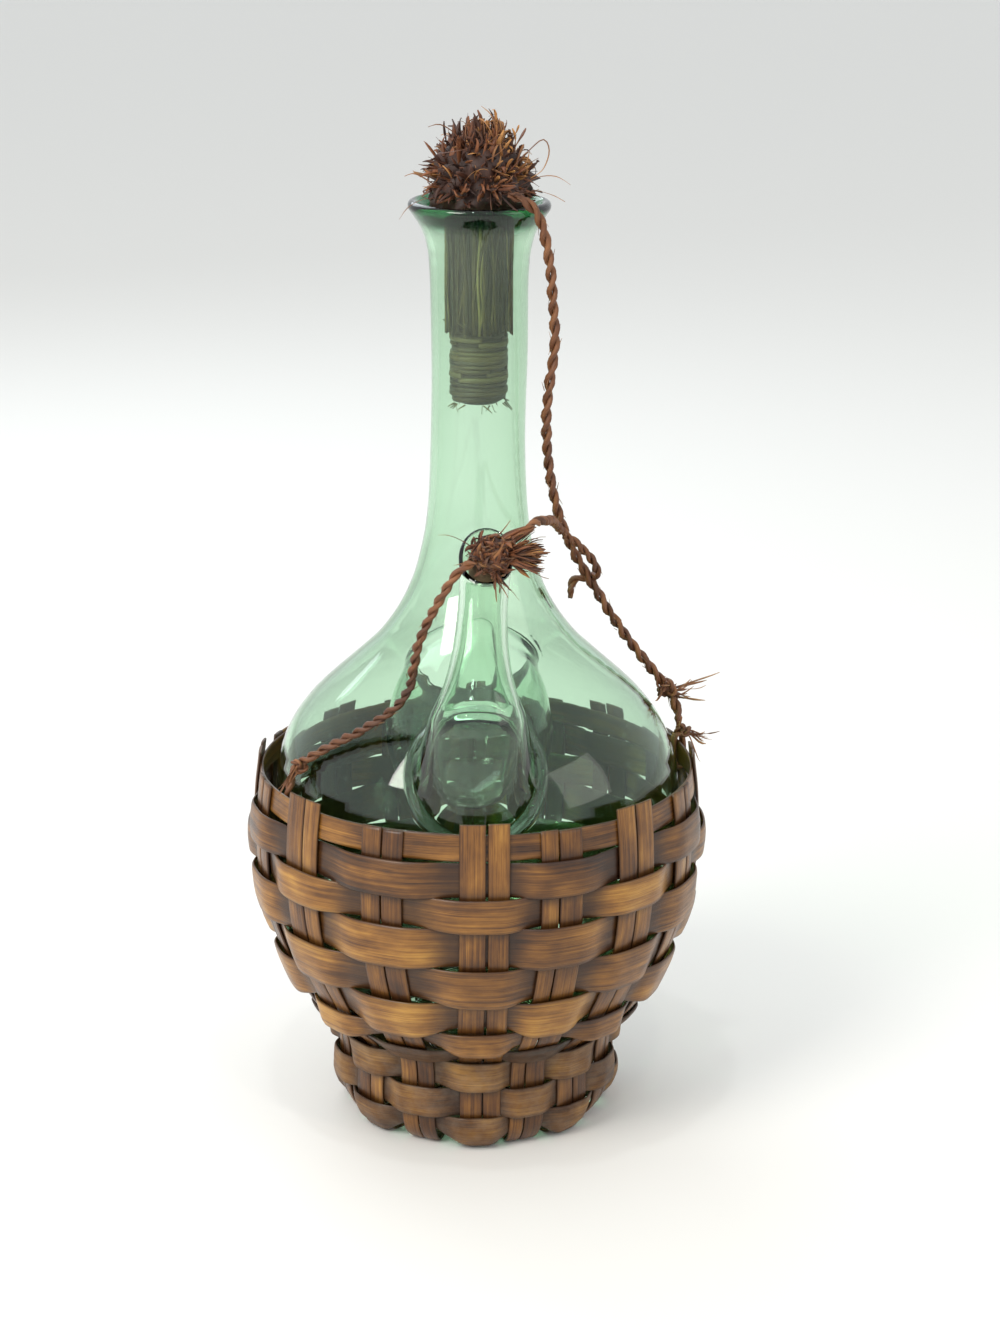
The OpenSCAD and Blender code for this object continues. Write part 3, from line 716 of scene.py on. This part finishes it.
    al_p = math.pi + 3 / 59.0
    air = catmull2([[23.5, -6], [24.1, -11], [26.5, -19], [28.0, -27.5], [28.5, -36], [26.9, -45], [22.5, -53], [15.2, -59.3], [7.0, -62.3], [1.2, -63.0]], 5)
    wine = catmull2([[25.8, -9], [26.6, -13], [28.7, -20], [30.1, -28], [30.7, -36], [29.1, -46], [24.5, -54.6], [16.9, -61], [7.9, -64.6], [1.3, -65.3]], 5)
    for side, rho, z_c, pts in ((1, 25.6, 151.6, air), (-1, 28.2, 150.2, wine)):
        lo, Q, D = patch(z_c, al_p, side, rho)
        lo = loft(lo, Q, D, pocket_ring(pts[0, 1], pts[0, 0]), -n55[None, :], 3.2 if side > 0 else 2.6, 5.0 if side > 0 else 5.5, 9)
        for r, s in pts[1:]:
            now = add_ring(pocket_ring(s, r))
            bridge(lo, now)
            lo = now
        faces.append([int(x) for x in lo])

    for i in range(R - 1):
        for j in range(J):
            if (i, j) not in skip:
                q = (j + 1) % J
                faces.append([int(grid[i, j]), int(grid[i, q]), int(grid[i + 1, q]), int(grid[i + 1, j])])
    faces.append([int(x) for x in grid[0]])
    faces.append([int(x) for x in grid[-1]])
    V = np.concatenate(verts)
    # hand-blown waver, the same in both walls
    z = V[:, 2]
    ang = np.arctan2(V[:, 0], -V[:, 1])
    V[:, 0] += 0.18 * np.sin(z / 21.0 + 0.6) + 0.10 * np.sin(z / 8.3)
    V[:, 1] += 0.16 * np.sin(z / 26.0 + 2.1)
    sc = 1 + 0.0022 * np.sin(3 * ang + z / 30.0) + 0.0016 * np.sin(2 * ang - z / 17.0)
    V[:, 0] *= sc
    V[:, 1] *= sc
    used = sorted({i for f in faces for i in f})
    back = -np.ones(len(V), int)
    back[used] = np.arange(len(used))
    V = V[used]
    faces = [[int(back[i]) for i in f] for f in faces]
    me = bpy.data.meshes.new("glass_flask_blown")
    me.from_pydata((V * MM).tolist(), [], faces)
    bm = bmesh.new()
    bm.from_mesh(me)
    bmesh.ops.recalc_face_normals(bm, faces=bm.faces)
    loose = sum(1 for e in bm.edges if not e.is_manifold)
    print("glass open edges:", loose, "verts:", len(bm.verts), "volume cm3:", round(bm.calc_volume() * 1e6, 1))
    for f in bm.faces:
        f.smooth = True
    bm.to_mesh(me)
    bm.free()
    at = me.attributes.new("deep", "FLOAT", "POINT")
    zz = np.clip((V[:, 2] - 317.5) / 5.5, 0, 1)
    at.data.foreach_set("value", (zz * zz * (3 - 2 * zz)).astype(np.float32))
    me.materials.append(MAT_GLASS)
    ob = bpy.data.objects.new("glass_flask_blown", me)
    scene.collection.objects.link(ob)
    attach(ob, "root")
    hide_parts("glass_flask")
    return ob


glass = glass_mesh()


# ---------------------------------------------------------------- neck stopper
rng = np.random.default_rng(23)


def lathe(B, pts, k=64, tone=0.5, rough=0.0, rng=rng, centre=(0, 0)):
    p = np.array(pts, float)
    al = np.linspace(0, TAU, k, endpoint=False)
    r = p[:, 0][:, None] * (1 + rough * rng.normal(size=(len(p), k)))
    P = np.stack([centre[0] + r * np.cos(al), centre[1] + r * np.sin(al), p[:, 1][:, None] + rough * 2 * rng.normal(size=(len(p), k))], -1)
    uv = np.stack([np.broadcast_to(p[:, 1][:, None], r.shape), np.broadcast_to(al * 10, r.shape)], -1)
    B.rings(P, uv, tone)


B = Build()
lathe(B, [[3.5, 261.2], [7.8, 261.2], [8.4, 262], [8.4, 275], [8.4, 290], [8.4, 302.2], [7.8, 303], [3.5, 303]], 48, rough=0.004)
B.finish("neck_cork_core", "neck_stopper", MAT_CORK, ["neck_cork"])

B = Build()
lathe(B, [[8.55, 286], [10.6, 286.5], [10.9, 290], [10.9, 300], [10.9, 312], [10.9, 324], [9.5, 327], [2, 327], [2, 304], [8.55, 303.5]], 56, 0.3, 0.01)
for i in range(118):
    a = TAU * i / 118 + rng.normal() * 0.03
    lean = rng.normal() * 0.13
    z = np.linspace(285.3 - rng.uniform(0, 2.5), 327.5, 9)
    aa = a + lean * (z - 300) / 30 + wobble(9, rng, 0.05)
    r = 11.15 + rng.uniform(-0.15, 0.4) + wobble(9, rng, 0.12)
    P = np.stack([r * np.cos(aa), r * np.sin(aa), z], 1)
    pale = rng.random() < 0.12
    sweep(B, P, rng.uniform(0.32, 0.62), 0.26, k=5, up=(math.cos(a), math.sin(a), 0), twist=math.pi / 2,
          tone=rng.random(), edge=0.85 if pale else 0.0)
B.finish("neck_sheath_fibres", "neck_stopper", MAT_PLUG, ["neck_fibre_sheath"])

B = Build()
lathe(B, [[1.5, 258.9], [6.4, 259.2], [8.4, 260.4], [9.2, 262.5], [9.3, 270], [9.3, 280], [9.1, 286.2], [8.55, 286.2], [8.55, 261], [1.5, 261]], 56, 0.25, 0.006)
for w in range(15):
    z0 = 260.6 + w * 1.78
    n = 60
    t = np.linspace(0, TAU * 1.02, n)
    r = (9.55 if w > 0 else 8.9) + rng.uniform(-0.1, 0.25) + wobble(n, rng, 0.1, 4)
    z = z0 + 1.6 * t / TAU + wobble(n, rng, 0.3, 3) + rng.normal() * 0.25
    P = np.stack([r * np.cos(t + w), r * np.sin(t + w), z], 1)
    sweep(B, P, rng.uniform(0.75, 1.15), 0.42, k=6, up=(0, 0, 1), tone=np.clip(rng.random() * 0.7 + 0.2 + wobble(n, rng, 0.12, 5), 0, 1),
          edge=0.35 * (rng.random() < 0.3))
for _ in range(46):
    a = rng.uniform(0, TAU)
    low = rng.random() < 0.5
    zz = 259.6 if low else 285.5
    st = np.array([9.2 * math.cos(a), 9.2 * math.sin(a), zz])
    dr = np.array([math.cos(a + rng.normal() * 0.8), math.sin(a + rng.normal() * 0.8), (-1 if low else 1) * rng.uniform(0.1, 1.4)])
    dr /= np.linalg.norm(dr)
    ln = rng.uniform(2.0, 4.6)
    en = st + dr * ln
    rad = math.hypot(en[0], en[1])
    if rad > 12.6:
        en[:2] *= 12.6 / rad
    Q = bezier(st, st + dr * ln * 0.4, en + rng.normal(size=3) * 0.4, en, 5)
    sweep(B, Q, np.linspace(0.3, 0.1, 5), 0.1, k=4, tone=rng.random(), edge=rng.uniform(0, 0.8))
B.finish("neck_winding_band", "neck_stopper", MAT_PLUG, ["neck_winding"])

B = Build()
# painted shade: a dark shell in the heart of the brush, standing in for the shade deep between the strands
al = np.linspace(0, TAU, 40, endpoint=False)
shade_core = []
for e in np.linspace(-0.35, 1.5, 14):
    rr, zz = 15.5 * math.cos(e), 331.5 + 18.5 * math.sin(e)
    q = 1 + 0.10 * rng.normal(size=40)
    shade_core.append(np.stack([rr * q * np.cos(al), rr * q * np.sin(al), zz + rng.normal(size=40) * 0.7], 1))
shade_core = np.array(shade_core)
B.rings(shade_core, np.stack([shade_core[..., 2], np.broadcast_to(al * 15, shade_core.shape[:2])], -1), 0.0)
for i in range(760):
    a = rng.uniform(0, TAU)
    e = math.radians(rng.choice([rng.uniform(-12, 25), rng.uniform(15, 60), rng.uniform(50, 89)], p=[0.38, 0.36, 0.26]))
    az = a + rng.normal() * 0.4
    r0 = 9.0 * math.sqrt(rng.random())
    st = np.array([r0 * math.cos(a), r0 * math.sin(a), rng.uniform(324, 329)])
    out = np.array([math.cos(az) * math.cos(e), math.sin(az) * math.cos(e), math.sin(e)])
    reach = rng.uniform(0.72, 0.99) if rng.random() < 0.93 else rng.uniform(1.0, 1.12)
    en = np.array([0, 0, 331.0]) + out * np.array([21.0, 21.0, 25.0]) * reach
    en[2] = max(en[2], 328.6)
    bulge = rng.uniform(4, 13)
    c1 = st + np.array([0, 0, bulge]) + out * rng.uniform(1, 6)
    c2 = en - out * rng.uniform(2, 8) + rng.normal(size=3) * 3.2 + np.array([0, 0, rng.uniform(-1, 4)])
    Q = bezier(st, c1, c2, en, 11)
    gold = 0.0
    if rng.random() < 0.12 + 0.38 * (out[0] > 0.15 and out[2] > 0.1):
        gold = rng.uniform(0.25, 1.0)
    ribbon(B, Q, rng.uniform(0.8, 2.3), 0.26, rng, rng.random() ** 1.3, gold, 2.6)
for _ in range(26):  # ends bent back over, as loops
    a = rng.uniform(0, TAU)
    e = rng.uniform(0.2, 1.4)
    c = np.array([0, 0, 331.0]) + np.array([17 * math.cos(e) * math.cos(a), 17 * math.cos(e) * math.sin(a), 21 * math.sin(e)])
    o = rng.normal(size=3)
    o /= np.linalg.norm(o)
    u = np.cross(o, [0, 0, 1.0])
    u /= np.linalg.norm(u)
    w = np.cross(o, u)
    t = np.linspace(0.2, 5.2, 14)[:, None]
    ribbon(B, c + rng.uniform(2.2, 4.2) * (np.cos(t) * u + np.sin(t) * w * 1.4) + t * 0.3 * o, rng.uniform(0.5, 1.2), 0.22, rng, rng.random(), rng.uniform(0, 0.8))
for pts, w, g in (
        ([[-8, -10, 330], [-15, -14, 335], [-21, -15, 338.5], [-24.6, -14, 337.5]], 0.5, 0.3),
        ([[-9, -12, 329], [-17, -16, 330.5], [-23, -17, 328], [-26.3, -16, 323.6]], 0.55, 0.3),
        ([[9, -10, 331], [18, -14, 337], [25, -15, 338], [30.2, -14, 335.0]], 0.5, 0.7),
        ([[10, -12, 330], [18, -15, 333], [24, -16, 332], [28.4, -15, 329.6]], 0.5, 0.6),
        ([[9, -12, 338], [16, -15, 346], [21, -15, 350], [23, -14, 346], [21, -13.5, 340], [17, -13, 337]], 0.45, 0.75),
        ([[3, -8, 345], [5, -10, 352], [4, -10, 357], [0.5, -9, 360]], 0.5, 0.6),
        ([[-4, -8, 345], [-8, -10, 351], [-13, -10, 354], [-17, -9, 353]], 0.5, 0.2)):
    ribbon(B, resample(spline(pts, 6), 1.5), w, 0.2, rng, 0.6, g, 0.6)
# where the strands are gathered into the cord
frayed(B, (4.5, -15.5, 333.5), (0.55, -0.75, -0.12), 26, 8.5, 3.2, rng, w=(0.6, 1.3), gold=0.2, droop=0.1)
B.finish("neck_tuft_brush", "neck_stopper", MAT_TUFT, ["neck_tuft"])

# ---------------------------------------------------------------- spout stopper
HEAD = np.array([5.2, -69.6, 223.8])
B = Build()
lathe(B, [[2, 213.7], [4.9, 213.8], [5.5, 214.4], [5.6, 217], [5.6, 220], [5.4, 222.6], [2, 222.9]], 40, rough=0.006, centre=(3.1, -66))
B.finish("spout_cork_plug", "spout_stopper", MAT_CORK, ["spout_cork"])

B = Build()
al = np.linspace(0, TAU, 28, endpoint=False)
# painted shade: the ball under the windings is dark, standing in for the shade between the turns
ball = np.array([[[HEAD[0] + 5.6 * math.cos(e) * math.cos(a), HEAD[1] + 5.6 * math.cos(e) * math.sin(a), HEAD[2] + 5.6 * math.sin(e)]
                  for a in al] for e in np.linspace(-1.45, 1.45, 14)])
B.rings(ball, np.stack([ball[..., 2], np.broadcast_to(al * 5, ball.shape[:2])], -1), 0.1)
for i in range(30):
    o = rng.normal(size=3)
    o /= np.linalg.norm(o)
    u = np.cross(o, [0.2, 0.3, 1.0])
    u /= np.linalg.norm(u)
    w = np.cross(o, u)
    n = 34
    t = np.linspace(0, TAU * rng.uniform(0.6, 0.98), n)
    off = rng.uniform(-2.8, 2.8)
    rad = math.sqrt(max(6.1 ** 2 - off ** 2, 4))
    P = HEAD + off * o + rad * (np.cos(t)[:, None] * u + np.sin(t)[:, None] * w) + o * wobble(n, rng, 0.35)[:, None]
    sweep(B, P, rng.uniform(0.5, 0.95), 0.4, k=6, up=o, tone=np.clip(rng.random() + wobble(n, rng, 0.1), 0, 1), edge=0.25 * (rng.random() < 0.25))
frayed(B, HEAD + np.array([1, -4.5, -4.0]), (0.35, -0.4, -0.9), 14, 6.0, 2.2, rng, gold=0.4, droop=0.3)
for _ in range(90):
    o = rng.normal(size=3)
    o /= np.linalg.norm(o)
    o[1] = -abs(o[1])
    side = np.cross(o, rng.normal(size=3))
    side /= np.linalg.norm(side)
    st = HEAD + o * 5.6
    ln = rng.uniform(3.0, 6.5)
    Q = bezier(st, st + o * 1.5 + side * ln * 0.35, st + o * 1.9 + side * ln * 0.7, st + o * rng.uniform(0.2, 2.2) + side * ln, 7)
    ribbon(B, Q, rng.uniform(0.6, 1.5), 0.24, rng, rng.random(), 0.5 * rng.random() ** 3, 1.2)
B.finish("spout_stopper_head", "spout_stopper", MAT_TUFT, ["spout_winding"])

B = Build()
td = np.array([0.961, -0.276, 0.0])
for i in range(120):
    o = rng.normal(size=3) * np.array([0.6, 1.3, 1.5])
    st = HEAD + td * 4.2 + o * 0.55
    ln = rng.uniform(7.5, 13.5)
    dr = td + rng.normal(size=3) * np.array([0.05, 0.17, 0.22])
    en = st + dr * ln + o * 1.1
    Q = bezier(st, st + td * ln * 0.4 + o * 0.4, en - td * ln * 0.3 + rng.normal(size=3) * 0.7, en, 8)
    ribbon(B, Q, rng.uniform(0.5, 1.3), 0.22, rng, rng.random(), rng.uniform(0, 0.75) * (rng.random() < 0.55), 1.5)
B.finish("spout_tuft_brush", "spout_stopper", MAT_TUFT, ["spout_tuft"])

B = Build()
bd = np.array([0.676, 0.5675, 0.469])
for i in range(44):
    o = rng.normal(size=3) * 1.1
    st = HEAD + bd * 4.5 + o
    en = HEAD + bd * 16.0 + np.array([2.4, -2.6, 0]) + o * 0.45
    Q = bezier(st, st + bd * 5 + o * 0.4, en - np.array([0.6, 0.75, 0.1]) * 5, en, 9)
    ribbon(B, Q, rng.uniform(0.5, 1.2), 0.24, rng, rng.random(), 0.3 * rng.random(), 1.2)
for pts in ([[0, -72, 226], [-5, -75, 230], [-9, -75, 231.5], [-12.2, -73, 231]], [[4, -72, 228], [8, -73, 232], [11, -71, 235.5]],
            [[5, -74, 218], [8.5, -76, 214.5], [10.5, -76, 211]], [[6, -74, 217], [11, -76, 214], [14, -75, 210]]):
    ribbon(B, resample(spline(pts, 6), 1.2), 0.5, 0.2, rng, 0.6, 0.4, 0.5)
B.finish("spout_bundle_fibres", "spout_stopper", MAT_TUFT, ["spout_bundle"])


# ---------------------------------------------------------------- basket
STAKE_A = [2.5, 22, 44.5, 67, 92, 118, 139, 160, 182, 203, 225, 247, 268, 288, 311, 336.5]
STAKE_S = [0.55, 0.42, 0.5, 0.6, 0.5, 0.45, 0.55, 0.5, 0.48, 0.6, 0.5, 0.55, 0.45, 0.5, 0.56, 0.5]
PATH = [[77.2, 129.5], [78.2, 121.5], [78.8, 112.5], [78.9, 103.5], [78.5, 94.5],
    [77.5, 86], [75.7, 78], [73.2, 70.5], [70.2, 63], [67, 56.5], [64, 50.5],
    [61, 45.5], [57.4, 41.3], [53.8, 38], [51.2, 34.5], [50, 29.5], [49.7, 23],
    [49.7, 16], [49.2, 10], [47.6, 5.4], [44.9, 1.9], [42, 0.445], [38, 0.445],
    [34.5, 1.4], [30, 2.5], [22, 3.8], [13, 4.4], [7.5, 4.6]]
WZ = np.array([p[1] for p in PATH[:21]][::-1])
WR = np.array([p[0] for p in PATH[:21]][::-1])
BR = np.array([p[0] for p in PATH[22:]][::-1])
BZ = np.array([p[1] for p in PATH[22:]][::-1])
ANG = np.array(STAKE_A + [STAKE_A[0] + 360.0])


def wall_r(z):
    return np.interp(z, WZ, WR)


def stake_angle(u):
    return np.radians(np.interp(np.mod(u, 16), np.arange(17), ANG) + 360.0 * np.floor(u / 16))


def wave(u, phase):
    """1 in front of a stake, -1 behind the next, turning in the gap between."""
    x = np.abs(np.mod(u + phase + 1, 2) - 1)
    return np.cos(math.pi * np.clip((x - 0.17) / 0.66, 0, 1))


def ring_noise(u, rng, amp, lo=2, hi=9):
    """A waver that closes on itself round the 16 stakes."""
    out = np.zeros_like(u, dtype=float)
    for k in range(lo, hi):
        out += rng.normal() * np.sin(TAU * (k * u / 16 + rng.random())) / math.sqrt(k)
    return amp * out


# a splint's section: across its width and through its thickness
SEC = np.array([[-1, -0.35], [-0.985, 0.45], [-0.93, 0.86], [-0.72, 1.0], [-0.4, 1.06], [-0.1, 1.02], [0.22, 1.08], [0.5, 1.0], [0.76, 1.02],
                [0.93, 0.86], [0.985, 0.45], [1, -0.35], [0.95, -0.9], [0.5, -1], [0, -1], [-0.5, -1], [-0.95, -0.9]])
EDGE = np.where(np.abs(SEC[:, 0]) > 0.97, 0.85, np.where(np.abs(SEC[:, 0]) > 0.9, 0.35, 0.0))
EDGE[12:] = 0.45


def weaver_piece(name, z0, z1, phase, flare, scallop, seed, material, th=1.0, bow=2.15, dip=1.55):
    rng = np.random.default_rng(seed)
    steps = 18
    n = 16 * steps
    u = np.arange(n) / steps + 8.0  # starts at the back
    f = wave(u, phase)
    a = stake_angle(u)
    d = np.where(f > 0, f * bow, f * dip) + ring_noise(u, rng, 0.10)
    zl = z0 - scallop * f + ring_noise(u, rng, 0.16, 3, 14)
    zu = z1 + 0.8 + ring_noise(u, rng, 0.16, 3, 14) + 0.25 * f
    k = len(SEC)
    v = (SEC[:, 0][None, :] + 1) / 2
    z = zl[:, None] + (zu - zl)[:, None] * v
    lean = ring_noise(u, rng, 0.18, 3, 12)[:, None] * (0.5 - v) * 2
    fl = (np.clip(f, 0, 1) * flare)[:, None] * (1 - v) ** 1.3
    belly = 0.35 * np.sin(math.pi * v) * np.clip(f, 0, 1)[:, None]
    r = wall_r(z) + d[:, None] + fl + lean + belly
    # each splint wears its own fine ridges
    ridge = 0.045 * np.sin(z * 5.1 + seed) * (SEC[:, 1] > 0.5)[None, :]
    r = r + SEC[:, 1][None, :] * th / 2 + ridge
    # the lower wall slopes, so the thickness is laid partly downwards there
    slope = (np.interp(z + 1, WZ, WR) - np.interp(z - 1, WZ, WR)) / 2
    zt = z - SEC[:, 1][None, :] * th / 2 * np.clip(slope, 0, 1.2) * 0.7
    P = np.stack([r * np.sin(a)[:, None], -r * np.cos(a)[:, None], zt], -1)
    uvx = (a * 75.0 + seed * 7)[:, None] * np.ones((1, k))
    uv = np.stack([uvx, z - z0], -1)
    # painted highlight: lighter where it bows out over a stake; painted shade: darker where it dips behind the next
    # stake and along its top edge under the row above
    tone = np.clip(0.46 + rng.normal() * 0.14 + 0.20 * f + ring_noise(u, rng, 0.14, 1, 12), 0.02, 0.98)[:, None]
    dark = np.clip((0.45 - f) * 0.75, 0, 0.82)[:, None] + 0.30 * np.clip((v - 0.80) / 0.2, 0, 1)
    B = Build()
    B.rings(P, uv, tone, np.clip(np.maximum(EDGE[None, :], dark), 0, 0.95), loop=True)
    return B.finish(name + "_splint", "root", material, [name])


weaver_piece("weaver_01", 107.2, 118.9, 1, 0.0, 0.3, 101, MAT_BOWL)
weaver_piece("weaver_02", 96.0, 106.7, 0, 0.0, 0.4, 102, MAT_BOWL)
weaver_piece("weaver_03", 81.0, 95.5, 1, 0.3, 0.5, 103, MAT_BOWL)
weaver_piece("weaver_04", 66.2, 80.2, 0, 0.8, 1.0, 104, MAT_BOWL)
weaver_piece("weaver_05", 52.6, 65.4, 1, 1.6, 2.0, 105, MAT_BOWL)
weaver_piece("weaver_06", 44.8, 51.6, 0, 3.2, 1.8, 106, MAT_BOWL)
weaver_piece("weaver_07", 36.0, 41.8, 1, 0.0, 0.6, 107, MAT_FOOT)
weaver_piece("weaver_08", 24.4, 34.8, 0, 0.2, 0.5, 108, MAT_FOOT)
weaver_piece("weaver_09", 13.4, 23.5, 1, 0.2, 0.5, 109, MAT_FOOT)
weaver_piece("weaver_10", 4.2, 12.5, 0, 0.2, 3.1, 110, MAT_FOOT, bow=2.1)

# the rim weaver, level inside every stake
rng = np.random.default_rng(131)
u = np.arange(288) / 18 + 8.0
a = stake_angle(u)
v = (SEC[:, 0][None, :] + 1) / 2
zl, zu = 120.2 + ring_noise(u, rng, 0.12, 3, 12), 129.2 + ring_noise(u, rng, 0.16, 3, 12)
z = zl[:, None] + (zu - zl)[:, None] * v
r = wall_r(z) - 0.45 - 0.3 - 0.5 + SEC[:, 1][None, :] * 0.48 + ring_noise(u, rng, 0.08, 3, 9)[:, None]
B = Build()
B.rings(np.stack([r * np.sin(a)[:, None], -r * np.cos(a)[:, None], z], -1),
        np.stack([(a * 75)[:, None] * np.ones((1, len(SEC))), z], -1),
        np.clip(0.42 + ring_noise(u, rng, 0.1, 1, 6), 0, 1)[:, None], EDGE[None, :], loop=True)
B.finish("rim_weaver_splint", "root", MAT_BOWL, ["rim_weaver"])


def taper(r):
    return np.where(r >= 60, 1.0, np.where(r >= 46, 0.8 + 0.2 * (r - 46) / 14, 0.8 * r / 46))


ROWS = [(107.2, 119.5, 1), (96, 107.3, 0), (81, 96, 1), (66, 81, 0), (52, 66, 1), (44, 52, 0), (36, 42.5, 1), (24.4, 35.5, 0), (13.4, 24, 1), (1.5, 13, 0)]


def stake_piece(k):
    rng = np.random.default_rng(200 + k)
    tall = k % 2 == 0
    B = Build()
    w = 17.0 - (k % 2) * 2
    for part, (s0, s1) in enumerate(((0.0, STAKE_S[k] - 0.014), (STAKE_S[k] + 0.014, 1.0))):
        top = [[76.8, 133.0 + rng.uniform(-0.7, 0.5)]] if tall else []
        p = catmull2(top + PATH, 4)
        if not tall:
            p[0, 1] += rng.uniform(-0.3, 0.4)
        n = len(p)
        t = np.gradient(p, axis=0)
        t /= np.linalg.norm(t, axis=1)[:, None]
        wid = w * taper(p[:, 0])
        m = (s0 + s1) / 2 + wobble(n, rng, 0.006, 4)
        hw = (s1 - s0) / 2 * (1 + wobble(n, rng, 0.018, 6))
        sh = m[:, None] + SEC[:, 0][None, :] * hw[:, None]
        off = (sh - 0.5) * wid[:, None]
        ang = math.radians(STAKE_A[k]) + off / p[:, 0][:, None]
        thick = SEC[:, 1][None, :] * 0.45 + 0.03 * np.sin(off * 5.3 + k) * (SEC[:, 1] > 0.5)[None, :]
        cup = -0.12 * SEC[:, 0][None, :] ** 2
        d = thick + cup
        r = p[:, 0][:, None] - t[:, 1][:, None] * d
        z = p[:, 1][:, None] + t[:, 0][:, None] * d
        z = np.maximum(z, 0.002)
        s = arc(np.concatenate([p, np.zeros((n, 1))], 1))
        P = np.stack([r * np.sin(ang), -r * np.cos(ang), z], -1)
        uv = np.stack([(s + 40 * k)[:, None] * np.ones((1, len(SEC))), off + 9 * k + 31 * part], -1)
        low = np.clip((45 - p[:, 1]) / 12, 0, 1) * 0.12
        tone = np.clip(0.5 + rng.normal() * 0.17 - low + wobble(n, rng, 0.05, 5), 0.02, 0.98)[:, None]
        # the cut top ring is darker, and a stake gets painted shade where it runs close beside a weaver row that passes
        # in front of it
        cut_end_and_shade = np.zeros(n)
        cut_end_and_shade[0] = 0.6
        for lo, hi, ph in ROWS:
            if (k + ph) % 2 == 0:
                gap = np.maximum(np.maximum(lo - p[:, 1], p[:, 1] - hi), 0)
                cut_end_and_shade = np.where(p[:, 0] > 44, np.maximum(cut_end_and_shade, 0.88 * np.clip(1 - gap / 3.6, 0, 1)), cut_end_and_shade)
        B.rings(P, uv, tone, np.maximum(EDGE[None, :], cut_end_and_shade[:, None]))
    name = f"stake_{k + 1:02d}"
    return B.finish(name + "_splints", "root", MAT_STAKE, [name])


for k in range(16):
    stake_piece(k)


def base_piece(name, r0, r1, phase, seed):
    rng = np.random.default_rng(seed)
    n = 16 * 12
    u = np.arange(n) / 12
    f = wave(u, phase) * 1.2
    a = stake_angle(u)
    v = (SEC[:, 0][None, :] + 1) / 2
    r = (r0 + ring_noise(u, rng, 0.1, 3, 9))[:, None] + (r1 - r0) * v
    z = np.interp(r, BR, BZ) + f[:, None] * 0.98 + SEC[:, 1][None, :] * 0.4
    z = np.maximum(z, 0.05)
    B = Build()
    B.rings(np.stack([r * np.sin(a)[:, None], -r * np.cos(a)[:, None], z], -1),
            np.stack([(a * 28)[:, None] * np.ones((1, len(SEC))), r], -1), 0.45, EDGE[None, :], loop=True)
    B.finish(name + "_splint", "root", MAT_FOOT, [name])


base_piece("base_weaver_outer", 25.5, 30.5, 1, 301)
base_piece("base_weaver_inner", 17, 24, 0, 302)
B = Build()
al = np.linspace(0, TAU, 48, endpoint=False)
pts = [[0.6, 5.42], [6, 5.42], [10.1, 5.45], [10.5, 5.8], [10.4, 6.3], [9.9, 6.58], [5, 6.6], [0.6, 6.6]]
P = np.array([[[r * math.cos(x), r * math.sin(x), z] for x in al] for r, z in pts])
B.rings(P, np.stack([P[..., 0] + 50, P[..., 1] * 1.0], -1), 0.4, 0.1)
B.finish("base_centre_patch", "root", MAT_FOOT, ["base_centre"])


# ---------------------------------------------------------------- stage
def plain(name, colour, rough=0.6):
    m, nt, p, out = new_material(name)
    p.inputs["Base Color"].default_value = (*colour, 1)
    p.inputs["Roughness"].default_value = rough
    p.inputs["Specular IOR Level"].default_value = 0.2
    return m


me = bpy.data.meshes.new("floor")
me.from_pydata([(-9, -9, -0.0001), (9, -9, -0.0001), (9, 9, -0.0001), (-9, 9, -0.0001)], [], [(0, 1, 2, 3)])
floor = bpy.data.objects.new("floor", me)
floor.data.materials.append(plain("floor_pale", (0.80, 0.79, 0.76)))
scene.collection.objects.link(floor)

world = bpy.data.worlds.new("studio")
scene.world = world
world.use_nodes = True
wn = world.node_tree
wn.nodes["Background"].inputs[0].default_value = (0.95, 0.98, 1.0, 1)
wn.nodes["Background"].inputs[1].default_value = 0.88


def area(name, at, target, size, watts, colour):
    d = bpy.data.lights.new(name, "AREA")
    d.shape = "RECTANGLE"
    d.size, d.size_y = size
    d.energy = watts
    d.color = colour
    o = bpy.data.objects.new(name, d)
    o.location = at
    o.rotation_euler = (Vector(target) - Vector(at)).to_track_quat("-Z", "Y").to_euler()
    scene.collection.objects.link(o)


area("key", (-0.85, -0.95, 1.15), (0, 0, 0.15), (0.6, 0.8), 17, (1.0, 0.97, 0.92))
area("fill", (1.25, -0.55, 0.75), (0, 0, 0.15), (0.8, 0.8), 2.5, (1.0, 0.95, 0.88))
area("window", (-0.45, 0.95, 0.95), (0, 0, 0.18), (0.9, 0.7), 5, (0.86, 0.94, 1.0))

area("lamp_a", (0.22, -0.75, 1.35), (0, 0, 0.15), (0.05, 0.05), 1.2, (1.0, 0.93, 0.82))
area("lamp_b", (-0.12, -0.35, 1.45), (0, 0, 0.15), (0.06, 0.06), 1.4, (0.92, 0.97, 1.0))

scene.view_settings.view_transform = "Standard"
scene.view_settings.look = "None"
